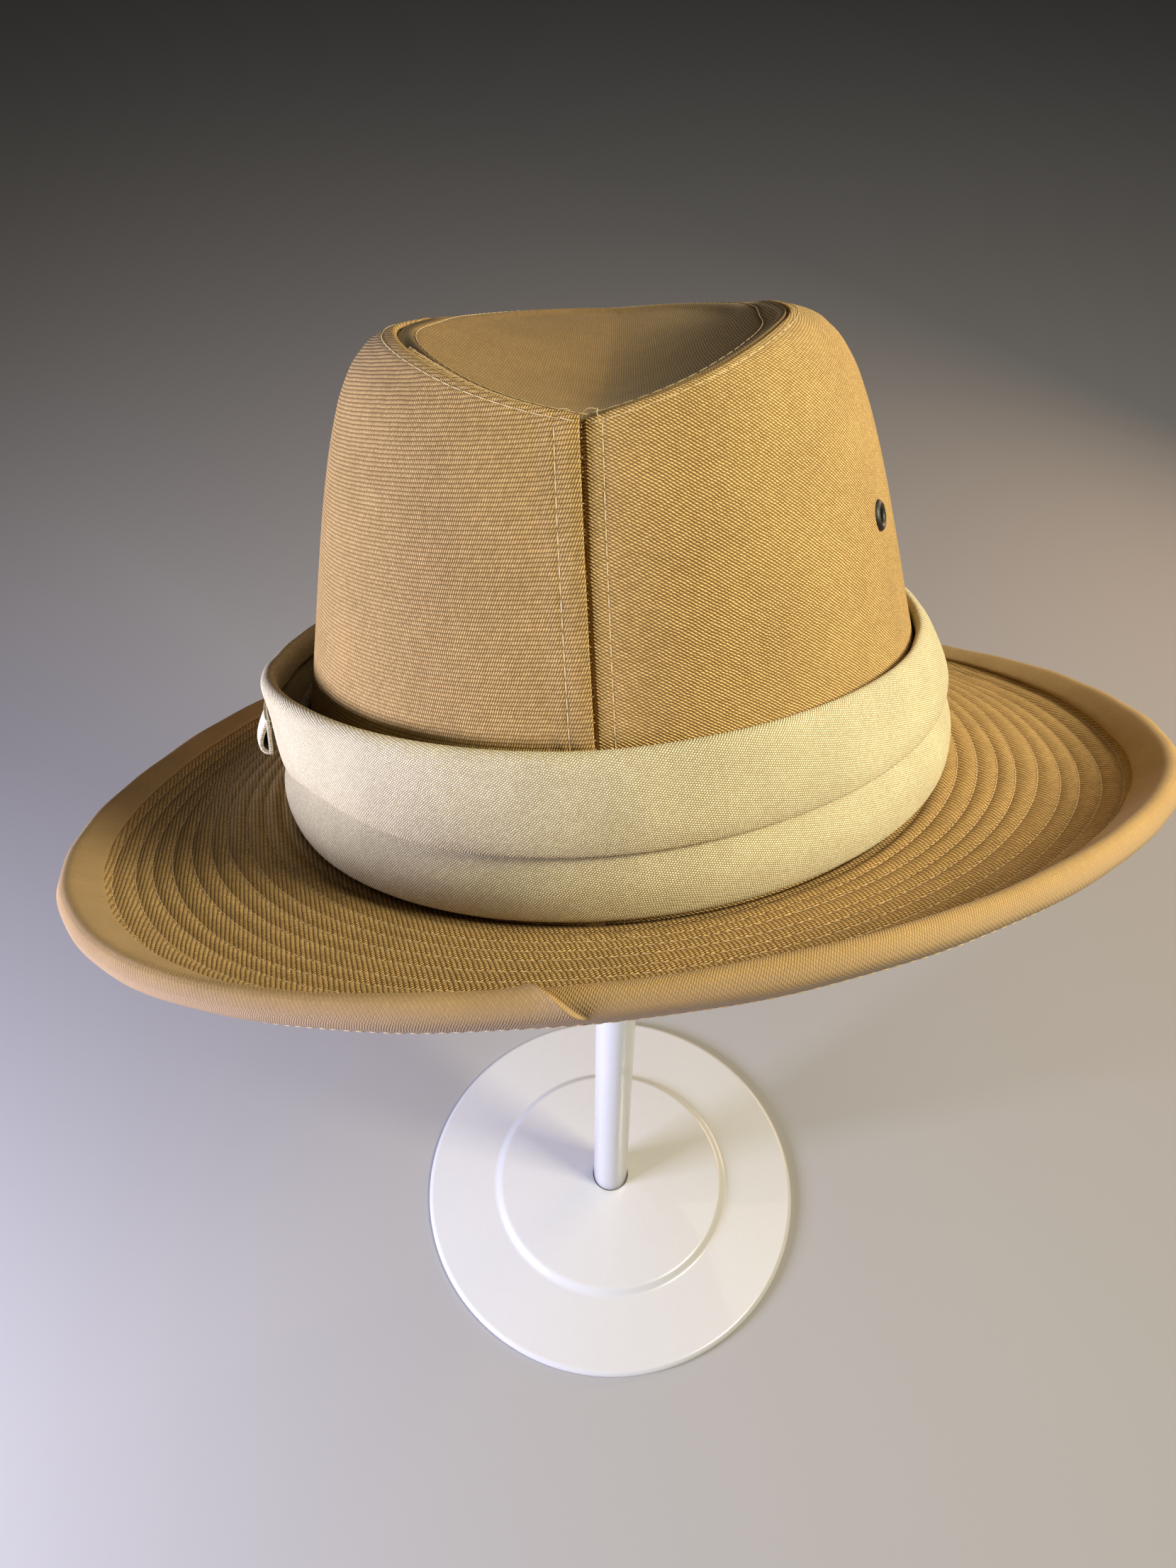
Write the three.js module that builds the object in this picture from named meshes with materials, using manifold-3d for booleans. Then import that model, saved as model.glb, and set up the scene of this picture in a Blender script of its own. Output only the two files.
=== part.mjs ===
// A stitched cotton fedora with a pleated band, resting on a plain round hat stand.
// Millimetres. The middle of the stand's foot is the origin, +Z is up and +Y is the hat's front.

import * as THREE from 'three';
import { ParametricGeometry } from 'three/addons/geometries/ParametricGeometry.js';
import { mergeGeometries, mergeVertices } from 'three/addons/utils/BufferGeometryUtils.js';
import Module from 'manifold-3d';

const { degToRad, lerp } = THREE.MathUtils;

// Where the hat sits on the stand: its frame has the middle of the headline as origin
const HAT_CENTRE = new THREE.Vector3(-3.8, -13.9, 348.2);
const HAT_TILT = -22.6;
const HAT_ROLL = -4.75;
const HAT_TURN = -2.3;

// Cloth and the space left between neighbouring pieces
const GAP = 0.3;
const CROWN_CLOTH = 1.8;
const BRIM_CLOTH = 2.1;
const BAND_CLOTH = 1.1;
const BOW_CLOTH = 1;

// Head opening, measured to the outside of the crown
const HEAD_HALF_WIDTH = 88.5;
const HEAD_HALF_LENGTH = 103;

// The crown leans to the right as it rises, and its right ridge sinks with it
const CROWN_LEAN = 0.034;
const CROWN_SINK = 0.035;
// The centre-back seam strays this many degrees to the left on its way up
const SEAM_STRAY = 0.7;
const CROWN_FOOT = -3;

// Crown wall from the headline up to the tip seam: share of the height, and the inset there
const CROWN_WALL = [
  { share: 0, side: 0, back: 0, front: 0 },
  { share: 0.18, side: 4.5, back: 0.8, front: 2 },
  { share: 0.36, side: 9.3, back: 1.8, front: 4.5 },
  { share: 0.54, side: 14, back: 3.4, front: 7.5 },
  { share: 0.7, side: 18.6, back: 5.6, front: 11 },
  { share: 0.82, side: 23, back: 8.2, front: 14 },
  { share: 0.9, side: 27.2, back: 10.6, front: 17 },
  { share: 0.955, side: 32.4, back: 12.6, front: 20 },
  { share: 0.988, side: 39, back: 14.2, front: 22.5 },
  { share: 1, side: 46, back: 15, front: 25 },
];

// Height of the tip seam round half the hat, from the front to the notch at the back
const TIP_SEAM = [
  { around: 0, height: 113.5 },
  { around: 45, height: 115 },
  { around: 90, height: 116.5 },
  { around: 125, height: 116 },
  { around: 140, height: 114.3 },
  { around: 150, height: 111.6 },
  { around: 160, height: 108 },
  { around: 170, height: 104.6 },
  { around: 180, height: 101.5 },
];

// Floor of the dent along the top, from the notch at the back to the front
const DENT_FLOOR = [
  { along: -90, height: 101.5 },
  { along: -60, height: 100.3 },
  { along: -25, height: 101 },
  { along: 10, height: 104.5 },
  { along: 45, height: 109.5 },
  { along: 80, height: 113.5 },
];
const DENT_DRIFT = 0.03;
const DENT_REACH = 0.86;
const DENT_SHARPNESS = 1.45;

// Brim: width of the cloth, its slope where it leaves the crown and the rise of its curled edge
const BRIM_ROOT = -1;
const CURL_START = 0.6;
const BRIM_SHAPE = [
  { around: 0, width: 56.5, slope: -17.5, curl: 4 },
  { around: 45, width: 55, slope: -19, curl: 5 },
  { around: 90, width: 53.5, slope: -7, curl: 7 },
  { around: 135, width: 55, slope: 10, curl: 9 },
  { around: 180, width: 56.5, slope: 12.5, curl: 9 },
  { around: 225, width: 58, slope: -0.7, curl: 8 },
  { around: 270, width: 60, slope: -13, curl: 6.5 },
  { around: 315, width: 58.5, slope: -15, curl: 5 },
  { around: 360, width: 56.5, slope: -17.5, curl: 4 },
];
const BRIM_ROWS = [0, 0.3, 0.55, 0.7, 0.8, 0.88, 0.94, 1];

// Rolled binding on the brim's edge: half thickness of the roll at each place from the edge
const BINDING_ROLL = [
  { past: -6.5, half: 2.35 },
  { past: -2.5, half: 2.9 },
  { past: 1.2, half: 2.75 },
  { past: 2.9, half: 1.2 },
];

// Band of one long strip pleated into two folds: each bend's distance from the crown and its height
// above the brim, and its shares of the slack, of the pleat's sag and of the top edge's sag there
const BAND_FOLDS = [
  { out: 1.4, height: 0.6, slack: 0, pleat: 0, top: 0 },
  { out: 4, height: 3.2, slack: 0, pleat: 0, top: 0 },
  { out: 5, height: 9.5, slack: 0, pleat: 0.4, top: 0 },
  { out: 3.6, height: 17.5, slack: 0, pleat: 1, top: 0 },
  { out: 1.9, height: 22.5, slack: 0, pleat: 1, top: 0 },
  { out: 1.9, height: 26, slack: 0, pleat: 1, top: 0 },
  { out: 3.7, height: 26, slack: 0, pleat: 1, top: 0 },
  { out: 4.6, height: 20, slack: 0, pleat: 1, top: 0 },
  { out: 6, height: 18.8, slack: 0, pleat: 1, top: 0 },
  { out: 6.4, height: 23.5, slack: 0.15, pleat: 0.8, top: 0.2 },
  { out: 6.2, height: 30.5, slack: 0.6, pleat: 0.3, top: 0.7 },
  { out: 5.3, height: 35.8, slack: 1, pleat: 0, top: 1 },
  { out: 3.6, height: 37.3, slack: 1, pleat: 0, top: 1 },
  { out: 2.3, height: 35, slack: 0.95, pleat: 0, top: 1 },
  { out: 2.3, height: 30.5, slack: 0.85, pleat: 0.2, top: 0.8 },
];

// A sharp bend's mitre is cut off where its corner would run out further than this
const SHARPEST_MITRE = 0.5;

// Round the hat the upper fold lies close at the back and the right, and gapes and sags at the left
const BAND_LOOSE = [
  { around: 0, slack: 0.5, pleat: 1, top: -2 },
  { around: 60, slack: -1.1, pleat: 2, top: -2 },
  { around: 115, slack: -1.2, pleat: 2, top: -1 },
  { around: 150, slack: -1.1, pleat: 1, top: 0.7 },
  { around: 180, slack: -1, pleat: 0, top: 1 },
  { around: 205, slack: 0.2, pleat: 0.3, top: 1.7 },
  { around: 228, slack: 3.6, pleat: 1.5, top: 1.7 },
  { around: 247, slack: 6.5, pleat: -3, top: 0.4 },
  { around: 275, slack: 7, pleat: -3, top: -3.5 },
  { around: 315, slack: 4, pleat: -1, top: -3 },
  { around: 360, slack: 0.5, pleat: 1, top: -2 },
];

// Flat bow on the left of the band: width and depth of its loops along its length
const BOW_HEIGHT = 26;
const BOW_FLARE = 17;
const BOW_DEPTH = 5.8;
const BOW_SHAPE = [
  { around: 243, width: 10.5, depth: 5.4 },
  { around: 250, width: 11, depth: 5.8 },
  { around: 256, width: 9, depth: 3.2 },
  { around: 260, width: 7.5, depth: 2.6 },
  { around: 264, width: 9, depth: 3.2 },
  { around: 270, width: 11, depth: 5.8 },
  { around: 277, width: 10.5, depth: 5.4 },
];
const KEEPER_FROM = 256.6;
const KEEPER_TO = 263.4;
const KEEPER_CLOTH = 1;

// Vent eyelet in the right side of the crown
const EYELET_COLUMN = 16;
const EYELET_ROW = 3;
const EYELET_HOLE = 1.8;
const EYELET_BARREL = 2.4;
const EYELET_FLANGE = 3.7;
const EYELET_BACK_FLANGE = 3.4;
const EYELET_RIM = 0.9;

// Stand: a stepped disc, a round post and a domed top that carries the crown from inside
const BASE_RADIUS = 95;
const BASE_RIM_HEIGHT = 3.5;
const BASE_RIM_ROUND = 1.5;
const BASE_PLATE_RISE = 2;
const BASE_STEP_RADIUS = 60;
const BASE_STEP_RISE = 2.5;
const BASE_STEP_RUN = 3;
const BASE_HEIGHT = 11;
const SOCKET_FLOOR = 4;
const SOCKET_LIP = 4;
const POST_RADIUS = 8.5;
const DOME_RADIUS = 30;
const DOME_BALL = 42;
const DOME_EDGE = 6;
const DOME_NECK = 14;

// Facets
const CROWN_COLUMNS = 24;
const TIP_COLUMNS = 48;
const TIP_ROWS = 5;
const RING_COLUMNS = 56;
const BAND_COLUMNS = 48;
const BOW_COLUMNS = 10;
const BOW_SIDES = 10;
const EYELET_SIDES = 16;
const BASE_SIDES = 48;
const POST_SIDES = 24;
const DOME_ROWS = 5;

const TWILL = { color: 0xc49a5e, roughness: 0.85, metalness: 0 };
const CREAM = { color: 0xeedcb2, roughness: 0.75, metalness: 0 };
const BLACK_METAL = { color: 0x1c1a18, roughness: 0.4, metalness: 0.6 };
const WHITE_GLOSS = { color: 0xf2f2f0, roughness: 0.25, metalness: 0 };

const wasm = await Module();
wasm.setup();

// Reads a table at any place between its rows, along a smooth curve through them
function reader(rows, place, wraps = false) {
  const columns = Object.keys(rows[0]).filter((key) => key !== place);
  const places = rows.map((row) => row[place]);
  const values = rows.flatMap((row) => columns.map((key) => row[key]));
  const spline = new THREE.CubicInterpolant(places, values, columns.length);
  const ending = wraps ? THREE.WrapAroundEnding : THREE.ZeroCurvatureEnding;
  spline.settings = { endingStart: ending, endingEnd: ending };
  return (at) => {
    const found = spline.evaluate(at);
    return Object.fromEntries(columns.map((key, index) => [key, found[index]]));
  };
}

const crownWallAt = reader(CROWN_WALL, 'share');
const tipSeamAt = reader(TIP_SEAM, 'around');
const dentFloorAt = reader(DENT_FLOOR, 'along');
const brimShapeAt = reader(BRIM_SHAPE, 'around', true);
const bandLooseAt = reader(BAND_LOOSE, 'around', true);
const bowShapeAt = reader(BOW_SHAPE, 'around');

// Merges sheets that meet edge to edge into one closed body with its faces outwards
function closedBody(...sheets) {
  const joined = mergeGeometries(sheets.map((sheet) => {
    const bare = sheet.clone();
    bare.deleteAttribute('normal');
    bare.deleteAttribute('uv');
    return bare;
  }));
  const body = mergeVertices(joined, 1e-4);
  const place = body.attributes.position;
  const corner = [new THREE.Vector3(), new THREE.Vector3(), new THREE.Vector3()];
  const kept = [];
  let volume = 0;
  for (let first = 0; first < body.index.count; first += 3) {
    const ids = [0, 1, 2].map((step) => body.index.getX(first + step));
    if (new Set(ids).size < 3) continue;
    ids.forEach((id, step) => corner[step].fromBufferAttribute(place, id));
    volume += corner[0].dot(corner[1].clone().cross(corner[2]));
    kept.push(ids);
  }
  const turned = volume < 0 ? kept.map(([a, b, c]) => [a, c, b]) : kept;
  body.setIndex(turned.flat());
  return body;
}

function toManifold(geometry) {
  const vertProperties = new Float32Array(geometry.attributes.position.array);
  const triVerts = new Uint32Array(geometry.index.array);
  return new wasm.Manifold(new wasm.Mesh({ numProp: 3, vertProperties, triVerts }));
}

function cut(geometry, tool) {
  const mesh = toManifold(geometry).subtract(toManifold(tool)).getMesh();
  const left = new THREE.BufferGeometry();
  left.setAttribute('position', new THREE.BufferAttribute(mesh.vertProperties, 3));
  left.setIndex(new THREE.BufferAttribute(mesh.triVerts, 1));
  return left;
}

function sheet(placeAt, columns, rows) {
  return new ParametricGeometry((u, v, target) => target.copy(placeAt(u, v)), columns, rows);
}

// A closed section carried round the hat; sectionAt gives its corners in order
function ring(sectionAt, columns) {
  const stations = Array.from({ length: columns }, (_, index) => sectionAt(360 * index / columns));
  const corners = stations[0].length;
  return closedBody(sheet((u, v) => {
    const station = stations[Math.round(u * columns) % columns];
    return station[Math.round(v * corners) % corners];
  }, columns, corners));
}

// An open wall: outer and inner faces of matching corners, closed at its four edges
function panel(wallAt, columns, rows) {
  const stations = Array.from({ length: columns + 1 }, (_, index) => wallAt(index / columns));
  const loopOf = (station) => [...station.outer].reverse().concat(station.inner);
  const loops = stations.map(loopOf);
  const corners = loops[0].length;
  const skin = sheet((u, v) => (
    loops[Math.round(u * columns)][Math.round(v * corners) % corners]
  ), columns, corners);
  const end = (station, from, to) => sheet((u, v) => {
    const row = rows - Math.round(v * rows);
    return u < 0.5 ? station[from][row] : station[to][row];
  }, 1, rows);
  const first = end(stations[0], 'inner', 'outer');
  const last = end(stations[columns], 'outer', 'inner');
  return closedBody(skin, first, last);
}

function lathe(profile, sides) {
  return closedBody(new THREE.LatheGeometry(profile.map(([r, z]) => new THREE.Vector2(r, z)), sides));
}

// Round the hat: 0 degrees is the front, 90 the right, 180 the back and 270 the left
function outwards(around) {
  const turn = degToRad(around);
  const way = new THREE.Vector3(HEAD_HALF_LENGTH * Math.sin(turn), HEAD_HALF_WIDTH * Math.cos(turn), 0);
  return way.normalize();
}

function seamHeight(around) {
  const folded = around > 180 ? 360 - around : Math.abs(around);
  return tipSeamAt(folded).height;
}

// Outer face of an upright crown at a share of its height
function crownShape(around, share) {
  const turn = degToRad(around);
  const wall = crownWallAt(share);
  const end = Math.cos(turn) < 0 ? wall.back : wall.front;
  const inset = wall.side * Math.sin(turn) ** 2 + end * Math.cos(turn) ** 2;
  const height = share * seamHeight(around);
  return new THREE.Vector3(
    (HEAD_HALF_WIDTH - inset) * Math.sin(turn),
    (HEAD_HALF_LENGTH - inset) * Math.cos(turn),
    height,
  );
}

function leaned(point) {
  point.z -= CROWN_SINK * point.x * point.z / TIP_SEAM[0].height;
  point.x += CROWN_LEAN * point.z;
  return point;
}

function crownFace(around, share) {
  return leaned(crownShape(around, share));
}

function crownNormal(around, share) {
  const step = 0.01;
  const below = crownShape(around, Math.max(share - step, 0));
  const above = crownShape(around, Math.min(share + step, 1));
  const before = crownShape(around - 1, share);
  const after = crownShape(around + 1, share);
  return above.sub(below).cross(after.sub(before)).normalize();
}

// The crown at a height above the headline, for what is worn round it
function crownAtHeight(around, height) {
  const share = Math.max(height, 0) / seamHeight(around);
  return crownFace(around, share).setZ(height);
}

function crownPanel(fromFront) {
  const clear = THREE.MathUtils.radToDeg(GAP / 2 / HEAD_HALF_LENGTH);
  const wallAt = (u) => {
    const rows = CROWN_WALL.map(({ share }) => {
      const seam = 180 + SEAM_STRAY * share;
      const around = fromFront
        ? lerp(clear, seam - clear, u)
        : lerp(seam + clear, 360 - clear, u);
      const outer = crownFace(around, share);
      const inner = outer.clone().addScaledVector(crownNormal(around, share), -CROWN_CLOTH);
      return { outer, inner };
    });
    const foot = { outer: rows[0].outer.clone(), inner: rows[0].inner.clone() };
    foot.outer.z = CROWN_FOOT;
    foot.inner.z = CROWN_FOOT;
    const all = [foot, ...rows];
    return { outer: all.map((row) => row.outer), inner: all.map((row) => row.inner) };
  };
  return panel(wallAt, CROWN_COLUMNS, CROWN_WALL.length);
}

// The tip starts just inside the standing edge of the crown wall and falls to the dent
function tipEdge(around) {
  const edge = crownShape(around, 1);
  const facing = crownNormal(around, 1);
  const flat = Math.hypot(facing.x, facing.y);
  return edge.addScaledVector(outwards(around), -(CROWN_CLOTH * flat + GAP));
}

function tipFace(around, share) {
  const edge = tipEdge(around);
  const middle = (TIP_BACK.y + TIP_FRONT.y) / 2;
  const along = middle + (edge.y - middle) * lerp(DENT_REACH, 1, share);
  const valley = DENT_DRIFT * (along - TIP_BACK.y);
  const rise = edge.z - dentFloorAt(edge.y).height;
  const height = dentFloorAt(along).height + rise * share ** DENT_SHARPNESS;
  return leaned(new THREE.Vector3(lerp(valley, edge.x, share), along, height));
}

const TIP_BACK = tipEdge(180);
const TIP_FRONT = tipEdge(0);

function tipUnderside(around, share) {
  const under = tipFace(around, share);
  under.z -= CROWN_CLOTH;
  return under;
}

function crownTip() {
  const rows = 2 * TIP_ROWS + 1;
  return closedBody(sheet((u, v) => {
    const row = Math.round(v * rows);
    const around = 360 * (Math.round(u * TIP_COLUMNS) % TIP_COLUMNS) / TIP_COLUMNS;
    return row <= TIP_ROWS
      ? tipFace(around, row / TIP_ROWS)
      : tipUnderside(around, (rows - row) / TIP_ROWS);
  }, TIP_COLUMNS, rows));
}

// Middle of the brim's cloth at a share of its width, with the way up from it there
function brimMiddle(around, share) {
  const shape = brimShapeAt(around);
  const slope = degToRad(shape.slope);
  const curled = Math.max(share - CURL_START, 0) / (1 - CURL_START);
  const run = shape.width * share * Math.cos(slope);
  const rise = shape.width * share * Math.sin(slope) + shape.curl * curled ** 2;
  const steepness = Math.tan(slope) + 2 * shape.curl * curled
    / ((1 - CURL_START) * shape.width * Math.cos(slope));
  const way = outwards(around);
  const point = crownFace(around, 0).addScaledVector(way, GAP + run);
  point.z = BRIM_ROOT + rise;
  const tilt = share > 0 ? Math.atan(steepness) : 0;
  const up = way.clone().multiplyScalar(-Math.sin(tilt)).setZ(Math.cos(tilt));
  const out = way.clone().multiplyScalar(Math.cos(tilt)).setZ(Math.sin(tilt));
  return { point, up, out };
}

function brimTop(around, out) {
  const { point, up } = brimMiddle(around, out / brimShapeAt(around).width);
  return point.addScaledVector(up, BRIM_CLOTH / 2).z;
}

function brim() {
  return ring((around) => {
    const top = BRIM_ROWS.map((share) => {
      const { point, up } = brimMiddle(around, share);
      return point.addScaledVector(up, BRIM_CLOTH / 2);
    });
    const bottom = BRIM_ROWS.map((share) => {
      const { point, up } = brimMiddle(around, share);
      return point.addScaledVector(up, -BRIM_CLOTH / 2);
    });
    return top.concat(bottom.reverse());
  }, RING_COLUMNS);
}

// A point beside the brim's edge: past it by so much, and so far above the middle of the cloth
function besideEdge(around, past, above) {
  const inside = Math.min(past, 0);
  const { point, up, out } = brimMiddle(around, 1 + inside / brimShapeAt(around).width);
  return point.addScaledVector(out, past - inside).addScaledVector(up, above);
}

function binding() {
  const inner = BRIM_CLOTH / 2 + GAP;
  const legEnd = BINDING_ROLL[0].past;
  return ring((around) => {
    const over = BINDING_ROLL.map(({ past, half }) => besideEdge(around, past, half));
    const under = BINDING_ROLL.map(({ past, half }) => besideEdge(around, past, -half)).reverse();
    const slot = [
      besideEdge(around, legEnd, -inner),
      besideEdge(around, legEnd / 2, -inner),
      besideEdge(around, GAP, -inner),
      besideEdge(around, GAP, inner),
      besideEdge(around, legEnd / 2, inner),
      besideEdge(around, legEnd, inner),
    ];
    return over.concat(under, slot);
  }, RING_COLUMNS);
}

// Both sides of a strip of cloth that follows a bent line, as one clockwise outline
function stripOutline(line, thickness) {
  const legs = line.slice(1).map((bend, index) => bend.clone().sub(line[index]).normalize());
  const sideOf = (hand) => line.map((bend, index) => {
    const into = legs[Math.max(index - 1, 0)];
    const away = legs[Math.min(index, legs.length - 1)];
    const across = new THREE.Vector2(-into.y - away.y, into.x + away.x).normalize();
    const stretch = across.dot(new THREE.Vector2(-into.y, into.x));
    return bend.clone().addScaledVector(across, hand * thickness / 2 / Math.max(stretch, SHARPEST_MITRE));
  });
  const outline = sideOf(1).concat(sideOf(-1).reverse());
  return THREE.ShapeUtils.area(outline) > 0 ? outline.reverse() : outline;
}

function bandLine(around) {
  const loose = bandLooseAt(around);
  const foot = brimTop(around, BAND_FOLDS[1].out) + GAP + BAND_CLOTH / 2;
  return BAND_FOLDS.map((bend) => new THREE.Vector2(
    bend.out + bend.slack * loose.slack,
    foot + bend.height + bend.pleat * loose.pleat + bend.top * loose.top,
  ));
}

function bandSection(around) {
  return stripOutline(bandLine(around), BAND_CLOTH).map((corner) => (
    crownAtHeight(around, corner.y).addScaledVector(outwards(around), corner.x)
  ));
}

// The bow leans with the flare of the upper fold and lies against whatever part stands out furthest
function bowFrame(around) {
  const { width } = bowShapeAt(around);
  const flare = degToRad(BOW_FLARE);
  const way = outwards(around);
  const out = way.clone().multiplyScalar(Math.cos(flare)).setZ(-Math.sin(flare));
  const up = way.clone().multiplyScalar(Math.sin(flare)).setZ(Math.cos(flare));
  const reach = bandSection(around)
    .filter((corner) => Math.abs(corner.z - BOW_HEIGHT) < width / 2 + KEEPER_CLOTH)
    .map((corner) => corner.dot(out));
  const middle = crownAtHeight(around, BOW_HEIGHT);
  const clear = Math.max(...reach) + GAP + BOW_DEPTH / 2;
  middle.addScaledVector(way, (clear - middle.dot(out)) / Math.cos(flare));
  return { middle, out, up };
}

function bowCorner(around, side, shrink) {
  const { width, depth } = bowShapeAt(around);
  const turn = 2 * Math.PI * side / BOW_SIDES;
  const { middle, out, up } = bowFrame(around);
  return middle
    .addScaledVector(out, (depth / 2 - shrink) * Math.cos(turn))
    .addScaledVector(up, (width / 2 - shrink) * Math.sin(turn));
}

function sleeve(from, to, columns, outerShrink, innerShrink) {
  const loops = Array.from({ length: 2 * columns + 2 }, (_, index) => {
    const back = index > columns;
    const step = back ? 2 * columns + 1 - index : index;
    const around = lerp(from, to, step / columns);
    const shrink = back ? innerShrink : outerShrink;
    return Array.from({ length: BOW_SIDES }, (__, side) => bowCorner(around, side, shrink));
  });
  return closedBody(sheet((u, v) => (
    loops[Math.round(v * loops.length) % loops.length][Math.round(u * BOW_SIDES) % BOW_SIDES]
  ), BOW_SIDES, loops.length));
}

function bow() {
  return sleeve(BOW_SHAPE[0].around, BOW_SHAPE.at(-1).around, BOW_COLUMNS, 0, BOW_CLOTH);
}

function bowKeeper() {
  return sleeve(KEEPER_FROM, KEEPER_TO, 2, -(GAP + KEEPER_CLOTH), -GAP);
}

function eyelet() {
  const back = -(CROWN_CLOTH + GAP);
  return lathe([
    [EYELET_HOLE, back - EYELET_RIM],
    [EYELET_BACK_FLANGE, back - EYELET_RIM],
    [EYELET_BACK_FLANGE, back],
    [EYELET_BARREL, back],
    [EYELET_BARREL, GAP],
    [EYELET_FLANGE, GAP],
    [EYELET_FLANGE - GAP, GAP + EYELET_RIM / 2],
    [(EYELET_FLANGE + EYELET_HOLE) / 2, GAP + EYELET_RIM],
    [EYELET_HOLE, GAP + EYELET_RIM / 2],
    [EYELET_HOLE, back - EYELET_RIM],
  ], EYELET_SIDES);
}

// Where the eyelet sits: the middle of one facet of the crown, and the turn that lays +Y across it
function eyeletPlace() {
  const corner = (column, row) => crownFace(180 * column / CROWN_COLUMNS, CROWN_WALL[row].share);
  const before = corner(EYELET_COLUMN, EYELET_ROW);
  const after = corner(EYELET_COLUMN + 1, EYELET_ROW);
  const beforeAbove = corner(EYELET_COLUMN, EYELET_ROW + 1);
  const afterAbove = corner(EYELET_COLUMN + 1, EYELET_ROW + 1);
  const point = before.clone().add(after).add(beforeAbove).add(afterAbove).divideScalar(4);
  const across = afterAbove.sub(before).cross(after.sub(beforeAbove)).normalize();
  const turn = new THREE.Quaternion().setFromUnitVectors(new THREE.Vector3(0, 1, 0), across);
  return { point, turn };
}

function eyeletHole() {
  const { point, turn } = eyeletPlace();
  const radius = EYELET_BARREL + GAP;
  const through = 6 * CROWN_CLOTH;
  const drill = new THREE.CylinderGeometry(radius, radius, through, EYELET_SIDES);
  drill.applyQuaternion(turn);
  drill.translate(point.x, point.y, point.z);
  return closedBody(drill);
}

function standBase() {
  const socket = POST_RADIUS + GAP;
  const plate = BASE_RIM_HEIGHT + BASE_PLATE_RISE;
  return lathe([
    [0, 0],
    [BASE_RADIUS, 0],
    [BASE_RADIUS, BASE_RIM_HEIGHT - BASE_RIM_ROUND],
    [BASE_RADIUS - BASE_RIM_ROUND, BASE_RIM_HEIGHT],
    [BASE_STEP_RADIUS, plate],
    [BASE_STEP_RADIUS - BASE_STEP_RUN, plate + BASE_STEP_RISE],
    [socket + SOCKET_LIP, BASE_HEIGHT],
    [socket, BASE_HEIGHT],
    [socket, SOCKET_FLOOR],
    [0, SOCKET_FLOOR],
  ], BASE_SIDES).rotateX(Math.PI / 2);
}

// How far the dome has fallen at a distance from its middle
function domeFall(reach) {
  return DOME_BALL - Math.sqrt(DOME_BALL ** 2 - reach ** 2);
}

// Height at which the top of the dome comes up under the tip
function domeTop(hat) {
  const samples = 2 * TIP_COLUMNS;
  let top = Infinity;
  for (let column = 0; column < samples; column += 1) {
    for (let row = 0; row <= TIP_ROWS; row += 1) {
      const under = tipUnderside(360 * column / samples, row / TIP_ROWS).applyMatrix4(hat.matrix);
      const reach = Math.hypot(under.x, under.y);
      if (reach > DOME_RADIUS) continue;
      top = Math.min(top, under.z + domeFall(reach));
    }
  }
  return top - 2 * GAP;
}

function standPost(top) {
  const edge = top - domeFall(DOME_RADIUS);
  const cap = Array.from({ length: DOME_ROWS }, (_, row) => {
    const reach = DOME_RADIUS * (DOME_ROWS - row) / DOME_ROWS;
    return [reach, top - domeFall(reach)];
  });
  return lathe([
    [0, SOCKET_FLOOR + GAP],
    [POST_RADIUS, SOCKET_FLOOR + GAP],
    [POST_RADIUS, edge - DOME_EDGE - DOME_NECK],
    [DOME_RADIUS, edge - DOME_EDGE],
    ...cap,
    [0, top],
  ], POST_SIDES).rotateX(Math.PI / 2);
}

function piece(name, geometry, finish) {
  const mesh = new THREE.Mesh(geometry, new THREE.MeshStandardMaterial(finish));
  mesh.name = name;
  return mesh;
}

const hat = new THREE.Group();
hat.position.copy(HAT_CENTRE);
hat.rotation.set(degToRad(HAT_TILT), degToRad(HAT_ROLL), degToRad(HAT_TURN), 'XYZ');
hat.updateMatrix();

hat.add(piece('crown_right', cut(crownPanel(true), eyeletHole()), TWILL));
hat.add(piece('crown_left', crownPanel(false), TWILL));
hat.add(piece('crown_tip', crownTip(), TWILL));
hat.add(piece('brim', brim(), TWILL));
hat.add(piece('brim_binding', binding(), TWILL));
hat.add(piece('hatband', ring(bandSection, BAND_COLUMNS), CREAM));
hat.add(piece('bow', bow(), CREAM));
hat.add(piece('bow_keeper', bowKeeper(), CREAM));

const vent = piece('eyelet', eyelet(), BLACK_METAL);
vent.position.copy(eyeletPlace().point);
vent.quaternion.copy(eyeletPlace().turn);
hat.add(vent);

const model = new THREE.Group();
model.add(hat);
model.add(piece('stand_base', standBase(), WHITE_GLOSS));
model.add(piece('stand_post', standPost(domeTop(hat)), WHITE_GLOSS));

export default model;
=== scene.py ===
# %% [markdown]
# A stitched cotton fedora rests on a plain white stand and is looked down on from behind.
# The CAD frame gives every piece its place and size. Each step below makes one piece of the
# real hat again with the cloth, folds and thread that the frame leaves out.

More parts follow.
